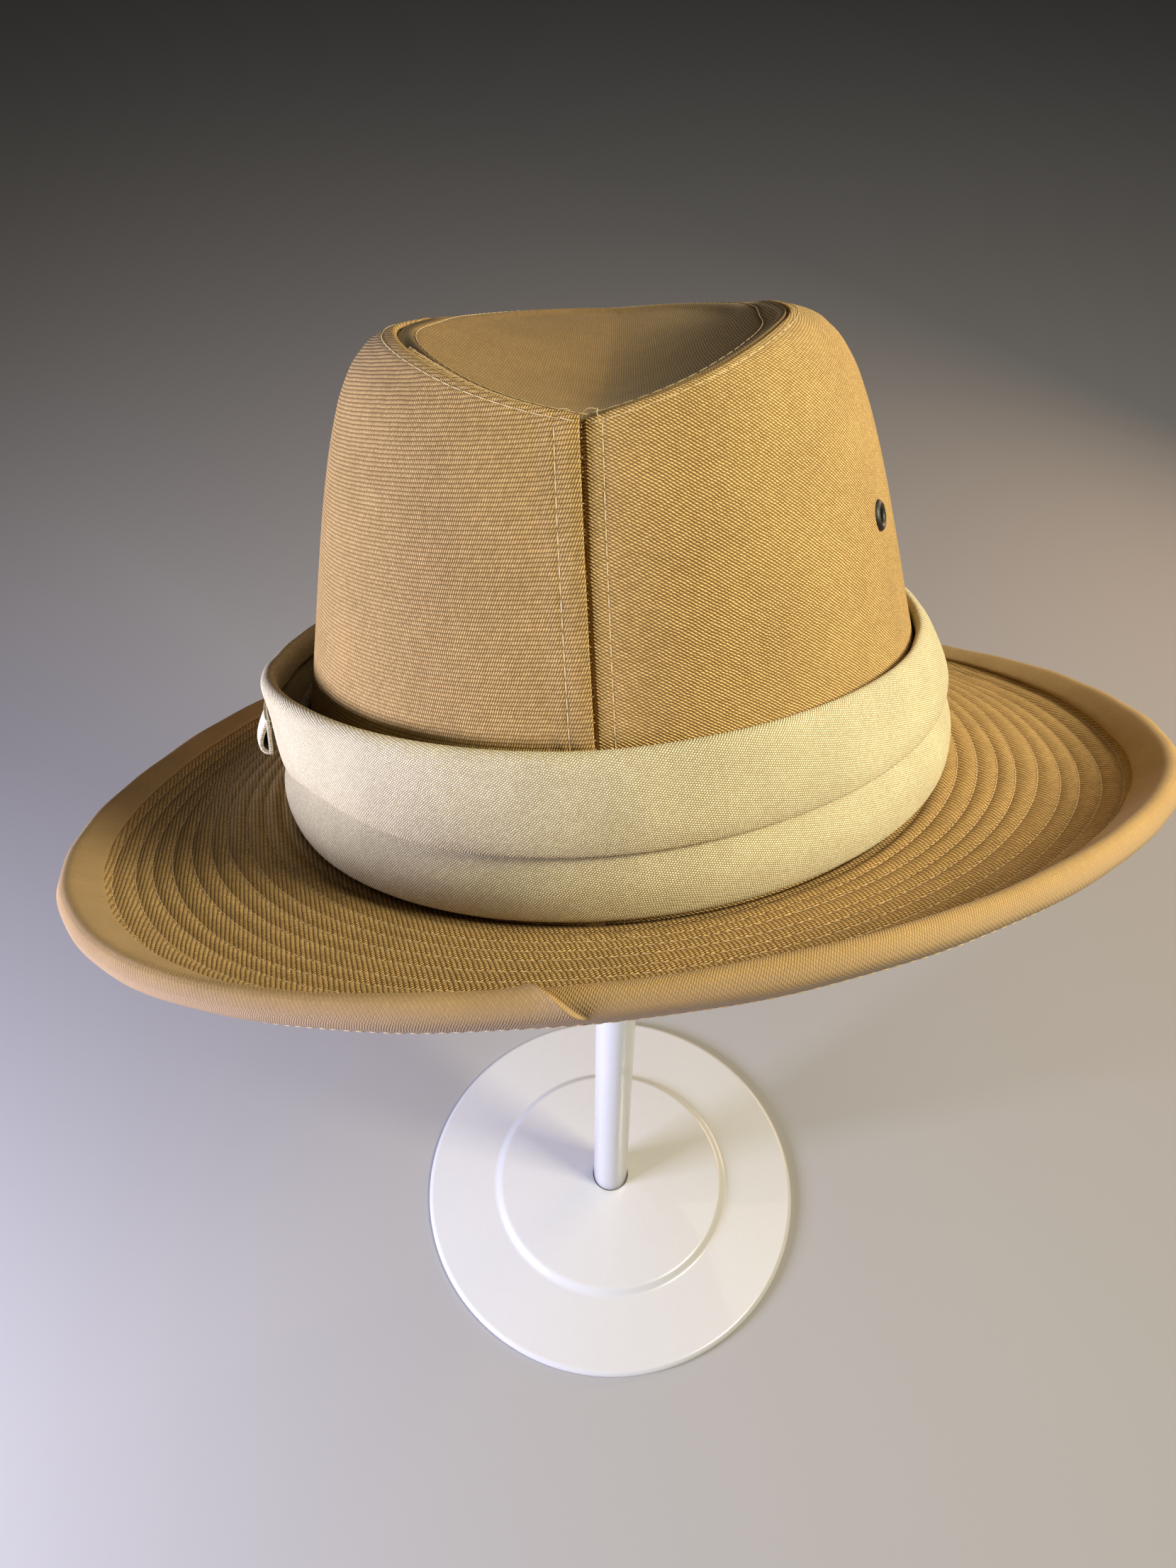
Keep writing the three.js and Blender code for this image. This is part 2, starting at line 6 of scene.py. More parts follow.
# %% Load the frame
import math
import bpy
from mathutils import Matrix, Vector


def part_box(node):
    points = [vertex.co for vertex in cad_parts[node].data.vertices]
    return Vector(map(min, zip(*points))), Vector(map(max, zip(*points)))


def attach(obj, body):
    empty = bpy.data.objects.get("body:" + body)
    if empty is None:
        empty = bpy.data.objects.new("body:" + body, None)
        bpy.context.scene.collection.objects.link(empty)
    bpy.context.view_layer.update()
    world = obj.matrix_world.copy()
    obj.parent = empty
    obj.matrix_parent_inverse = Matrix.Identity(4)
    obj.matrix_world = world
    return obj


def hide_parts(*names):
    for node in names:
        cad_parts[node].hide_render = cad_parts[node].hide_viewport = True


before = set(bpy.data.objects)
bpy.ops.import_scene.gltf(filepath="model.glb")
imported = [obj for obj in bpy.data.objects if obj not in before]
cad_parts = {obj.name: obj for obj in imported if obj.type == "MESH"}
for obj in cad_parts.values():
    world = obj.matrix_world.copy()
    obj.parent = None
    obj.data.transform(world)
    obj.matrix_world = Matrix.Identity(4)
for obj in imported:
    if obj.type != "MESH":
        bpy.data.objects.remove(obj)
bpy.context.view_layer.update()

from types import SimpleNamespace

import bmesh
import bpy
import numpy as np
from mathutils import Matrix, Vector

# %% [markdown]
# The photograph was taken from close by, above the back of the brim. A short lens and a steep
# downward look give the same spread between the near brim and the small foot of the stand.

# %% Camera
PHOTO_HEIGHT = 2212
FOCAL_PIXELS = 1600
LONG_SIDE = 36
EYE = (-0.0117, -0.2495, 0.5853)
LOOK_DOWN = 47.57

scene = bpy.context.scene
lens = bpy.data.cameras.new("camera")
lens.sensor_width = LONG_SIDE
lens.lens = LONG_SIDE * FOCAL_PIXELS / PHOTO_HEIGHT
camera = bpy.data.objects.new("camera", lens)
camera.location = EYE
camera.rotation_euler = (math.radians(90 - LOOK_DOWN), 0, 0)
scene.collection.objects.link(camera)
scene.camera = camera
print("camera", round(lens.lens, 2), "mm")

# %% [markdown]
# Studio surroundings: a pale floor, a warm lamp close on the right, a pale one low on the left, a
# faint low one beyond and a wide soft one overhead. The warm lamp lights the right of the brim and
# throws the crown's shadow over its left.

# %% Floor and lamps
HAT_MIDDLE = Vector((0, 0, 0.39))
FLOOR_HALF = 6
# Name, degrees round from +X and up, distance and size in metres, power in watts and colour
LAMPS = [
    ("warm_lamp", -27, 39, 0.66, 0.2, 6.3, (1.0, 0.92, 0.66)),
    ("pale_lamp", 203, -4, 0.8, 0.3, 15.5, (0.78, 0.77, 1.0)),
    ("low_lamp", 40, 4, 0.9, 0.4, 3.2, (1.0, 0.66, 0.42)),
    ("overhead_lamp", 10, 52, 1.8, 1.2, 8.5, (1.0, 0.88, 0.68)),
]


def plain_material(name, colour, roughness):
    made = bpy.data.materials.new(name)
    made.use_nodes = True
    shader = made.node_tree.nodes["Principled BSDF"].inputs
    shader["Base Color"].default_value = (*colour, 1)
    shader["Roughness"].default_value = roughness
    return made


def add_lamp(name, around, height, distance, size, power, colour):
    """A square lamp that faces the hat and isn't seen itself."""
    turn, lift = math.radians(around), math.radians(height)
    way = Vector((math.cos(lift) * math.cos(turn), math.cos(lift) * math.sin(turn), math.sin(lift)))
    light = bpy.data.lights.new(name, "AREA")
    light.size = size
    light.energy = power
    light.color = colour
    lamp = bpy.data.objects.new(name, light)
    lamp.location = HAT_MIDDLE + way * distance
    lamp.rotation_euler = way.to_track_quat("Z", "Y").to_euler()
    lamp.visible_camera = False
    scene.collection.objects.link(lamp)


ground = bmesh.new()
bmesh.ops.create_grid(ground, x_segments=1, y_segments=1, size=FLOOR_HALF)
floor_mesh = bpy.data.meshes.new("floor")
ground.to_mesh(floor_mesh)
ground.free()
floor_mesh.materials.append(plain_material("pale_floor", (0.34, 0.34, 0.345), 0.7))
floor = bpy.data.objects.new("floor", floor_mesh)
scene.collection.objects.link(floor)

for lamp in LAMPS:
    add_lamp(*lamp)

world = bpy.data.worlds.new("studio")
world.use_nodes = True
backdrop = world.node_tree.nodes["Background"].inputs
backdrop["Color"].default_value = (0.9, 0.93, 1.0, 1)
backdrop["Strength"].default_value = 0.03
scene.world = world
scene.view_settings.view_transform = "Standard"
print("lamps", [lamp[0] for lamp in LAMPS])

# %% [markdown]
# The hat's forms are smooth curves through a few measured rows, the same rows the frame was
# drawn from. A reader walks a smooth curve through a table, so cloth can be laid at any fineness.

# %% Measured rows
GAP = 0.3
CROWN_CLOTH = 1.8
BRIM_CLOTH = 2.1
HALF_WIDTH = 88.5
HALF_LENGTH = 103
CROWN_LEAN = 0.034
CROWN_SINK = 0.035
SEAM_STRAY = 0.7
FRONT_HEIGHT = 113.5


def reader(rows, wraps=False):
    """A smooth curve through rows of (place, value, value ...)."""
    table = np.array(rows, float)
    place, values = table[:, 0], table[:, 1:]
    secants = np.diff(values, axis=0) / np.diff(place)[:, None]
    first, last = secants[0], secants[-1]
    if wraps:
        first = last = (first + last) / 2
    slopes = np.vstack([first, (secants[:-1] + secants[1:]) / 2, last])

    def read(at):
        at = np.clip(np.asarray(at, float), place[0], place[-1])
        row = np.clip(np.searchsorted(place, at, side="right") - 1, 0, len(place) - 2)
        step = (place[row + 1] - place[row])[..., None]
        t = (at - place[row])[..., None] / step
        start = (1 + 2 * t) * (1 - t) ** 2 * values[row] + t * (1 - t) ** 2 * step * slopes[row]
        end = t * t * (3 - 2 * t) * values[row + 1] + t * t * (t - 1) * step * slopes[row + 1]
        return np.moveaxis(start + end, -1, 0)

    return read


# Share of the height, and the inset there at the side, the back and the front
crown_wall = reader([
    (0, 0, 0, 0), (0.18, 4.5, 0.8, 2), (0.36, 9.3, 1.8, 4.5), (0.54, 14, 3.4, 7.5), (0.7, 18.6, 5.6, 11),
    (0.82, 23, 8.2, 14), (0.9, 27.2, 10.6, 17), (0.955, 32.4, 12.6, 20), (0.988, 39, 14.2, 22.5),
    (1, 46, 15, 25),
])
# Degrees from the front, and the height of the tip seam
tip_seam = reader([
    (0, 113.5), (45, 115), (90, 116.5), (125, 116), (140, 114.3), (150, 111.6), (160, 108), (170, 104.6),
    (180, 101.5),
])
# Place from back to front, and the height of the dent's floor
dent_floor = reader([(-90, 101.5), (-60, 100.3), (-25, 101), (10, 104.5), (45, 109.5), (80, 113.5)])
# Degrees round the hat, and the brim's width, slope and the rise of its curled edge
brim_shape = reader([
    (0, 56.5, -17.5, 4), (45, 55, -19, 5), (90, 53.5, -7, 7), (135, 55, 10, 9), (180, 56.5, 12.5, 9),
    (225, 58, -0.7, 8), (270, 60, -13, 6.5), (315, 58.5, -15, 5), (360, 56.5, -17.5, 4),
], wraps=True)
# Degrees round the hat, and the band's slack and the rise of its pleat and top
band_loose = reader([
    (0, 0.5, 1, -2), (60, -1.1, 2, -2), (115, -1.2, 2, -1), (150, -1.1, 1, 0.7), (180, -1, 0, 1),
    (205, 0.2, 0.3, 1.7), (228, 3.6, 1.5, 1.7), (247, 7.3, -3, 0.4), (275, 7.8, -3, -3.5), (315, 4, -1, -3),
    (360, 0.5, 1, -2),
], wraps=True)
# Degrees round the hat, and the bow's width and depth
bow_shape = reader([
    (243, 10.5, 5.4), (250, 11, 5.8), (256, 9, 3.2), (260, 7.5, 2.6), (264, 9, 3.2), (270, 11, 5.8),
    (277, 10.5, 5.4),
])
print("tip seam at the back", tip_seam(180.0))

# %% [markdown]
# The crown is an oval wall that leans in as it rises. Round the hat 0 degrees is the front, 90 the
# right, 180 the back and 270 the left. Everything is drawn upright in millimetres first and then
# tipped onto the stand, which is how a hat is blocked before it is worn.

# %% Crown shape and the hat's seat
SEAT = (-3.8, -13.9, 348.2)
SEAT_TURNS = ((-22.6, "X"), (-4.75, "Y"), (-2.3, "Z"))
MM = 0.001

seat = Matrix.Identity(3)
for degrees, axis in SEAT_TURNS:
    seat = seat @ Matrix.Rotation(math.radians(degrees), 3, axis)
SEAT_MATRIX = np.array(seat)


def seated(places):
    """From the hat's own millimetres to metres in the frame."""
    return (places @ SEAT_MATRIX.T + np.array(SEAT)) * MM


def unit(ways):
    return ways / np.maximum(np.linalg.norm(ways, axis=-1, keepdims=True), 1e-9)


def stacked(x, y, z):
    return np.stack(np.broadcast_arrays(x, y, z), -1).astype(float)


def outwards(around):
    turn = np.radians(around)
    return unit(stacked(HALF_LENGTH * np.sin(turn), HALF_WIDTH * np.cos(turn), 0))


def seam_height(around):
    return tip_seam(180 - np.abs(180 - np.asarray(around) % 360))[0]


def crown_shape(around, share):
    """The upright crown's wall at a share of its height."""
    around, share = np.broadcast_arrays(np.asarray(around, float), np.asarray(share, float))
    turn = np.radians(around)
    side, back, front = crown_wall(share)
    end = np.where(np.cos(turn) < 0, back, front)
    inset = side * np.sin(turn) ** 2 + end * np.cos(turn) ** 2
    width = (HALF_WIDTH - inset) * np.sin(turn)
    length = (HALF_LENGTH - inset) * np.cos(turn)
    return stacked(width, length, share * seam_height(around))


def leaned(places):
    """The crown leans to the right as it rises, and its right ridge sinks."""
    x, y, z = np.moveaxis(places, -1, 0)
    sunk = z - CROWN_SINK * x * z / FRONT_HEIGHT
    return stacked(x + CROWN_LEAN * sunk, y, sunk)


def crown_at_height(around, height):
    share = np.maximum(height, 0) / seam_height(around)
    places = leaned(crown_shape(around, share))
    places[..., 2] = height
    return places


print("back of the crown", leaned(crown_shape(180, 0.5)).round(1))

# %% [markdown]
# A piece of cloth is laid as a flat grid whose corners are then carried to their places, so it
# keeps its warp and weft. The weave map holds the cloth's own millimetres for the twill to follow,
# and a Solidify modifier gives the sheet its thickness.

# %% Laying cloth
def keep_piece(name, mesh, material):
    """A mesh kept as a piece that rides on the body and takes its finish from a slot."""
    mesh.polygons.foreach_set("use_smooth", [True] * len(mesh.polygons))
    mesh.materials.append(material)
    made = bpy.data.objects.new(name, mesh)
    scene.collection.objects.link(made)
    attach(made, "root")
    return made


def finish_piece(name, shape, material, replaced, wall=None):
    """A bmesh kept in place of a node; wall is the cloth's (thickness, offset)."""
    bmesh.ops.recalc_face_normals(shape, faces=shape.faces)
    mesh = bpy.data.meshes.new(name)
    shape.to_mesh(mesh)
    shape.free()
    made = keep_piece(name, mesh, material)
    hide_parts(replaced)
    if wall:
        cloth = made.modifiers.new("cloth", "SOLIDIFY")
        cloth.thickness = wall[0] * MM
        cloth.offset = wall[1]
        cloth.use_even_offset = False
    print(name, len(mesh.polygons), "faces")
    return made


def grid_corners(shape, rows, columns):
    """The (row, column) of each corner of a fresh grid."""
    corners = {}
    for vert in shape.verts:
        corners[vert] = (round((vert.co.y + 0.5) * rows), round((vert.co.x + 0.5) * columns))
    return corners


def lay_cloth(places, weave, shade=None):
    """A grid of cloth with its corners at places[row, column], their weave map and any shade map."""
    rows, columns = places.shape[0] - 1, places.shape[1] - 1
    shape = bmesh.new()
    bmesh.ops.create_grid(shape, x_segments=columns, y_segments=rows, size=0.5)
    maps = [(shape.loops.layers.uv.new("weave"), weave)]
    if shade is not None:
        maps.append((shape.loops.layers.uv.new("shade"), np.stack([shade, 0 * shade], -1)))
    corners = grid_corners(shape, rows, columns)
    for face in shape.faces:
        for loop in face.loops:
            for layer, values in maps:
                loop[layer].uv = values[corners[loop.vert]]
    spots = seated(places)
    for vert, corner in corners.items():
        vert.co = spots[corner]
    bmesh.ops.remove_doubles(shape, verts=shape.verts, dist=1e-7)
    return shape


def run_lengths(places, axis):
    """Length of cloth from the first row or column to each corner."""
    steps = np.linalg.norm(np.diff(places, axis=axis), axis=-1)
    return np.concatenate([np.zeros_like(steps.take([0], axis)), np.cumsum(steps, axis)], axis)


def facing(places, towards):
    """Which way the cloth faces at each corner, on the side of towards."""
    across = unit(np.cross(np.gradient(places, axis=1), np.gradient(places, axis=0)))
    return across * np.sign((across * towards).sum(-1).mean())


def step_down(distance, near, far):
    """1 below near, 0 beyond far and smooth between."""
    t = np.clip((far - distance) / (far - near), 0, 1)
    return t * t * (3 - 2 * t)


def dip(distance, at, width):
    return np.exp(-((distance - at) / width) ** 2)


def rolled_edge(distance, radius):
    """How far a folded edge has turned under at a distance from it."""
    inside = np.clip(1 - distance / radius, 0, 1)
    return -radius * (1 - np.sqrt(1 - inside ** 2))


print("a fold of 1 mm turns under by", rolled_edge(np.array([0, 0.5, 1]), 1).round(2))

# %% [markdown]
# The cotton is a coarse twill: short bright grains of one thread lie over a darker ground, row on
# row, each row a little aside of the last. The shader group lays those grains in millimetres of
# cloth, and every cloth of the hat uses it with its own spacing and lean. It also gives slow patches
# of wear, which follow the cloth and not its turned grain.

# %% Twill grain
def add_node(tree, kind, inputs, **settings):
    """A shader node with its settings made, and each input linked or set."""
    node = tree.nodes.new("ShaderNode" + kind)
    for name, value in settings.items():
        setattr(node, name, value)
    for socket, value in inputs.items():
        if isinstance(value, bpy.types.NodeSocket):
            tree.links.new(value, node.inputs[socket])
        else:
            node.inputs[socket].default_value = value
    return node


def calculate(tree, operation, *inputs):
    return add_node(tree, "Math", dict(enumerate(inputs)), operation=operation).outputs[0]


def wave_of(tree, phase, power):
    """A smooth hump at the middle of each turn of the phase."""
    swing = calculate(tree, "COSINE", calculate(tree, "MULTIPLY", phase, 2 * math.pi))
    return calculate(tree, "POWER", calculate(tree, "MULTIPLY_ADD", swing, 0.5, 0.5), power)


def new_group(name, inputs, outputs):
    """A shader group with inputs of {name: kind} and outputs that are all values."""
    tree = bpy.data.node_groups.new(name, "ShaderNodeTree")
    for socket, kind in inputs.items():
        tree.interface.new_socket(socket, in_out="INPUT", socket_type="NodeSocket" + kind)
    for socket in outputs:
        tree.interface.new_socket(socket, in_out="OUTPUT", socket_type="NodeSocketFloat")
    return tree, tree.nodes.new("NodeGroupInput").outputs, tree.nodes.new("NodeGroupOutput").inputs


def twill_group():
    sockets = {"Place": "Vector", "Cloth": "Vector"}
    sockets.update({name: "Float" for name in ("Spacing", "Row", "Lean", "Stagger", "Parting")})
    tree, given, result = new_group("twill_grain", sockets, ("Height", "Fleck", "Wear"))
    stray = add_node(tree, "TexNoise", {"Vector": given["Place"], "Scale": 0.22, "Detail": 2})
    centred = add_node(tree, "VectorMath", {0: stray.outputs["Color"], 1: (0.5, 0.5, 0.5)},
                       operation="SUBTRACT")
    moved = add_node(tree, "VectorMath", {0: centred.outputs[0], 1: (0.5, 0.34, 0), 2: given["Place"]},
                     operation="MULTIPLY_ADD")
    split = add_node(tree, "SeparateXYZ", {0: moved.outputs[0]}).outputs
    lines = calculate(tree, "DIVIDE", split["Y"], given["Row"])
    line = calculate(tree, "FLOOR", lines)
    within = calculate(tree, "SUBTRACT", calculate(tree, "FRACT", lines), 0.5)
    grains = calculate(tree, "DIVIDE", split["X"], given["Spacing"])
    grains = calculate(tree, "ADD", grains, calculate(tree, "MULTIPLY", within, given["Lean"]))
    grains = calculate(tree, "ADD", grains, calculate(tree, "MULTIPLY", line, given["Stagger"]))
    jitter = add_node(tree, "TexWhiteNoise", {"W": line}, noise_dimensions="1D")
    grains = calculate(tree, "MULTIPLY_ADD", jitter.outputs["Value"], 0.18, grains)
    across = calculate(tree, "SUBTRACT", calculate(tree, "FRACT", grains), 0.5)
    hump = calculate(tree, "MULTIPLY", wave_of(tree, across, 0.9), wave_of(tree, within, given["Parting"]))
    pair = add_node(tree, "CombineXYZ", {"X": calculate(tree, "FLOOR", grains), "Y": line})
    fleck = add_node(tree, "TexWhiteNoise", {"Vector": pair.outputs[0]}, noise_dimensions="2D")
    patches = add_node(tree, "TexNoise", {"Vector": given["Cloth"], "Scale": 0.06, "Detail": 4})
    tree.links.new(hump, result["Height"])
    tree.links.new(fleck.outputs["Value"], result["Fleck"])
    tree.links.new(calculate(tree, "MULTIPLY_ADD", patches.outputs["Fac"], 0.36, 0.82), result["Wear"])
    return tree


TWILL_GRAIN = twill_group()
print("twill group", len(TWILL_GRAIN.nodes), "nodes")

# %% [markdown]
# A cloth's colour runs from the shaded ground between grains to the lit grain, with some grains
# paler than others. The grains also stand up as a fine bump. A cloth given a painted shade colour is
# mixed towards it by its shade map: painted shade where light does not reach, into a fold or under a roll.

# %% Cloth materials
def mixed(tree, factor, first, second, blend="MIX"):
    """Two colours mixed, each three numbers or a socket."""
    first, second = ((*value, 1) if isinstance(value, tuple) else value for value in (first, second))
    inputs = {0: factor, 6: first, 7: second}
    return add_node(tree, "Mix", inputs, data_type="RGBA", blend_type=blend).outputs[2]


def add_bump(tree, height, depth, strength):
    bump = add_node(tree, "Bump", {"Height": height, "Distance": depth * MM, "Strength": strength})
    tree.links.new(bump.outputs[0], tree.nodes["Principled BSDF"].inputs["Normal"])


def cloth_material(name, grain, ground, lattice, parting=0.45, turn=0.0, depth=0.28, painted_shade_colour=None):
    """Twill whose lattice is the spacing of grains, of rows, their lean and their stagger."""
    made = plain_material(name, grain, 0.86)
    tree = made.node_tree
    shader = tree.nodes["Principled BSDF"].inputs
    shader["Sheen Weight"].default_value = 0.06
    shader["Specular IOR Level"].default_value = 0.15
    weave = add_node(tree, "UVMap", {}, uv_map="weave").outputs[0]
    turned = add_node(tree, "Mapping", {"Vector": weave, "Rotation": (0, 0, math.radians(turn))})
    inputs = dict(zip(("Spacing", "Row", "Lean", "Stagger"), lattice))
    inputs.update(Parting=parting, Place=turned.outputs[0], Cloth=weave)
    twill = add_node(tree, "Group", inputs, node_tree=TWILL_GRAIN).outputs
    body = mixed(tree, twill["Height"], ground, grain)
    pale = tuple(min(1.0, 1.25 * value) for value in grain)
    fleck = calculate(tree, "MULTIPLY", twill["Fleck"], twill["Height"])
    body = mixed(tree, calculate(tree, "MULTIPLY", fleck, 0.75), body, pale)
    body = mixed(tree, 1.0, body, twill["Wear"], "MULTIPLY")
    # Painted shade: the colour is mixed towards a dark shade colour by the shade map.
    if painted_shade_colour:
        shade = add_node(tree, "UVMap", {}, uv_map="shade").outputs[0]
        body = mixed(tree, add_node(tree, "SeparateXYZ", {0: shade}).outputs["X"], body, painted_shade_colour)
    tree.links.new(body, shader["Base Color"])
    add_bump(tree, twill["Height"], depth, 0.8)
    return made


TAN = (0.67, 0.465, 0.205)
TAN_GROUND = (0.165, 0.085, 0.016)
# The tip's cotton is coloured much darker than the walls' same twill: painted shade over the whole tip.
TIP_SHADED_TAN = (0.275, 0.178, 0.074)
TIP_SHADED_GROUND = (0.193, 0.119, 0.046)
# Painted shade for the gap and the seam line at the tip's edge.
TIP_PAINTED_SHADE = (0.022, 0.012, 0.003)
BRIM_TAN = (0.75, 0.50, 0.185)
BRIM_GROUND = (0.143, 0.066, 0.012)
BINDING = (0.44, 0.29, 0.125)
BINDING_GROUND = (0.35, 0.225, 0.095)
# Painted shade, dull and pinkish, for the under half of the binding's roll.
BINDING_PAINTED_SHADE = (0.31, 0.215, 0.135)
CREAM = (0.87, 0.81, 0.61)
CREAM_GROUND = (0.30, 0.225, 0.10)
# The bow's cream is painted paler than the band's: painted light on the same twill.
BOW_LIT_CREAM = (0.92, 0.86, 0.69)
BOW_LIT_GROUND = (0.52, 0.45, 0.30)
CREAM_LATTICE = (0.56, 0.46, 0.35, 0.5)
CREAM_TURN = -14.5

left_twill = cloth_material("left_twill", TAN, TAN_GROUND, (0.54, 0.88, -0.8, 0.31))
right_twill = cloth_material("right_twill", TAN, TAN_GROUND, (0.74, 0.70, 0.76, -0.24), parting=0.25,
                             turn=-18.5)
tip_shaded_twill = cloth_material("tip_shaded_twill", TIP_SHADED_TAN, TIP_SHADED_GROUND, (0.58, 3, 0, 0.02), parting=0.04,
                           depth=0.025, painted_shade_colour=TIP_PAINTED_SHADE)
brim_twill = cloth_material("brim_twill", BRIM_TAN, BRIM_GROUND, (0.62, 1.0, 0, 0.4), turn=72,
                            depth=0.36)
binding_twill = cloth_material("binding_twill", BINDING, BINDING_GROUND, (0.5, 0.7, 0.6, 0.5), turn=45,
                               depth=0.1, painted_shade_colour=BINDING_PAINTED_SHADE)
cream_twill = cloth_material("cream_twill", CREAM, CREAM_GROUND, CREAM_LATTICE, turn=CREAM_TURN, depth=0.2)
bow_lit_twill = cloth_material("bow_lit_twill", BOW_LIT_CREAM, BOW_LIT_GROUND, CREAM_LATTICE, turn=CREAM_TURN, depth=0.1)
print("cloths", left_twill.name, right_twill.name, cream_twill.name)

# %% [markdown]
# Two panels make the crown. They meet down the back, where the left one is folded under and laps
# over the right one, and at the top each turns in to a folded lip against the tip. Fine columns
# gather at the seams so the folds can be modelled and not only painted. Near the front, which is
# finished plainly, the lips and the lap are sewn flat.

# %% Crown panels
PANEL_COLUMNS = 170
PANEL_ROWS = 78
CROWN_FOOT = -3
CROWN_WALL = (CROWN_CLOTH - 0.2, -1)
LAP = 0.55
LEFT_STITCH = 5.0
RIGHT_STITCH = 3.6
TUCK = 2.6
TUCK_DEPTH = 1.8
LIP_RISE = 0.55
LIP_FADES = (236, 264)


def wall_stitch(around):
    """Distance of the wall's topstitching below its lip: wide at the left, close at the back."""
    aside = np.abs((np.asarray(around, float) - 182 + 180) % 360 - 180)
    wide = np.where(np.asarray(around) > 182, 3.7, 2.5)
    return 1.7 + (wide - 1.7) * (1 - step_down(aside, 6, 50))


def near_front(around):
    return step_down(np.abs((around + 180) % 360 - 180), 55, 95)


def panel_relief(left, around, share, seam_gap, from_foot, from_top):
    """How far a panel stands off the crown's plain wall, at its folds and stitches."""
    stitch = wall_stitch(around)
    at_front = near_front(around)
    lip = LIP_RISE * step_down(from_top, stitch, stitch + 3) - 0.3 * dip(from_top, stitch, 0.5)
    lip = lip * (0.9 * step_down(around, *LIP_FADES) if left else 0.3) * (1 - at_front)
    top_roll = rolled_edge(from_top, 0.9)
    relief = lip - 1.3 * at_front * step_down(from_top, 0.5, 7)
    relief = relief + 0.07 * np.sin(from_foot * 2.1) * step_down(seam_gap, 1, 9)
    closed = at_front * step_down(from_top, 3, 10)
    if left:
        relief = relief + LAP * step_down(seam_gap, LEFT_STITCH, LEFT_STITCH + 4) * (1 - closed)
        relief = relief - 0.3 * dip(seam_gap, LEFT_STITCH, 0.5) + 0.2 * dip(seam_gap, 2.4, 1.4)
        return relief + np.minimum(rolled_edge(seam_gap, 0.45) * (1 - closed), top_roll)
    under = step_down(seam_gap, -0.3, 0.05 + 0.25 * share) * (1 - 0.92 * closed)
    relief = relief - TUCK_DEPTH * under - 0.25 * dip(seam_gap, RIGHT_STITCH, 0.5)
    return relief - 0.22 * step_down(seam_gap, 0, RIGHT_STITCH) * (1 - closed) + top_roll


def crown_panel(left):
    """Places, facing, weave, and lengths of cloth from the back seam and from the top edge."""
    t = np.linspace(0, 1, PANEL_COLUMNS + 1)
    eased = t - 0.88 * np.sin(2 * np.pi * t) / (2 * np.pi)
    rise = 1 - (1 - np.linspace(0, 1, PANEL_ROWS)) ** 1.75
    share = np.concatenate([[0], rise])[:, None]
    clear = math.degrees(GAP / 2 / HALF_LENGTH)
    seam = 180 + SEAM_STRAY * share
    tuck = math.degrees(TUCK / HALF_LENGTH)
    far = 360 - clear if left else clear - tuck
    near = seam + clear if left else seam + tuck
    around = near + (far - near) * eased[None, :]
    places = leaned(crown_shape(around, share))
    places[0, :, 2] = CROWN_FOOT
    from_back = run_lengths(places, 1)
    from_front = from_back[:, -1:] - from_back
    from_foot = run_lengths(places, 0)
    from_top = from_foot[-1:] - from_foot
    normal = facing(places, outwards(around))
    if not left:
        from_back, from_front = from_back - TUCK, from_front - TUCK
    relief = panel_relief(left, around, share, np.minimum(from_back, from_front), from_foot, from_top)
    weave = np.stack([from_back * (-1 if left else 1), from_foot], -1)
    return SimpleNamespace(places=places + normal * relief[..., None], normal=normal, weave=weave,
                           from_back=from_back, from_top=from_top, around=around)


left_panel = crown_panel(True)
right_panel = crown_panel(False)
finish_piece("crown_left_cloth", lay_cloth(left_panel.places, left_panel.weave), left_twill, "crown_left",
             CROWN_WALL)

# %% [markdown]
# Paint and sewing thread are never quite even. One small group gives a fine cloudiness on the
# object's own coordinates, and each finish uses it at its own scale for colour, gloss and bump.

# %% Uneven finishes
def uneven_group():
    tree, given, result = new_group("uneven_finish", {"Scale": "Float"}, ("Amount",))
    places = add_node(tree, "TexCoord", {})
    cloud = add_node(tree, "TexNoise", {"Vector": places.outputs["Object"], "Scale": given["Scale"]})
    tree.links.new(cloud.outputs["Fac"], result["Amount"])
    return tree


UNEVEN_FINISH = uneven_group()


def uneven_material(name, dull, clean, roughness, scale, depth):
    """Runs from a dull colour to a clean one; roughness is (dull, clean) and depth in millimetres."""
    made = plain_material(name, clean, roughness[1])
    tree = made.node_tree
    shader = tree.nodes["Principled BSDF"].inputs
    amount = add_node(tree, "Group", {"Scale": scale}, node_tree=UNEVEN_FINISH).outputs["Amount"]
    tree.links.new(mixed(tree, amount, dull, clean), shader["Base Color"])
    gloss = calculate(tree, "MULTIPLY_ADD", amount, roughness[1] - roughness[0], roughness[0])
    tree.links.new(gloss, shader["Roughness"])
    add_bump(tree, amount, depth, 1.0)
    return made


BLACK_DULL, BLACK = (0.02, 0.018, 0.016), (0.006, 0.0055, 0.005)
WHITE_DULL, WHITE = (0.56, 0.57, 0.575), (0.585, 0.595, 0.602)

black_enamel = uneven_material("black_enamel", BLACK_DULL, BLACK, (0.6, 0.4), 450, 0.03)
white_gloss = uneven_material("white_gloss", WHITE_DULL, WHITE, (0.3, 0.2), 260, 0.003)
white_gloss.node_tree.nodes["Principled BSDF"].inputs["Coat Weight"].default_value = 0.4
print("paints", black_enamel.name, white_gloss.name)

# %% [markdown]
# A small black metal vent is set in the right panel. The cloth is cut first: the squares round the
# place are made finer and those inside the barrel are taken out. The flange covers the cut.

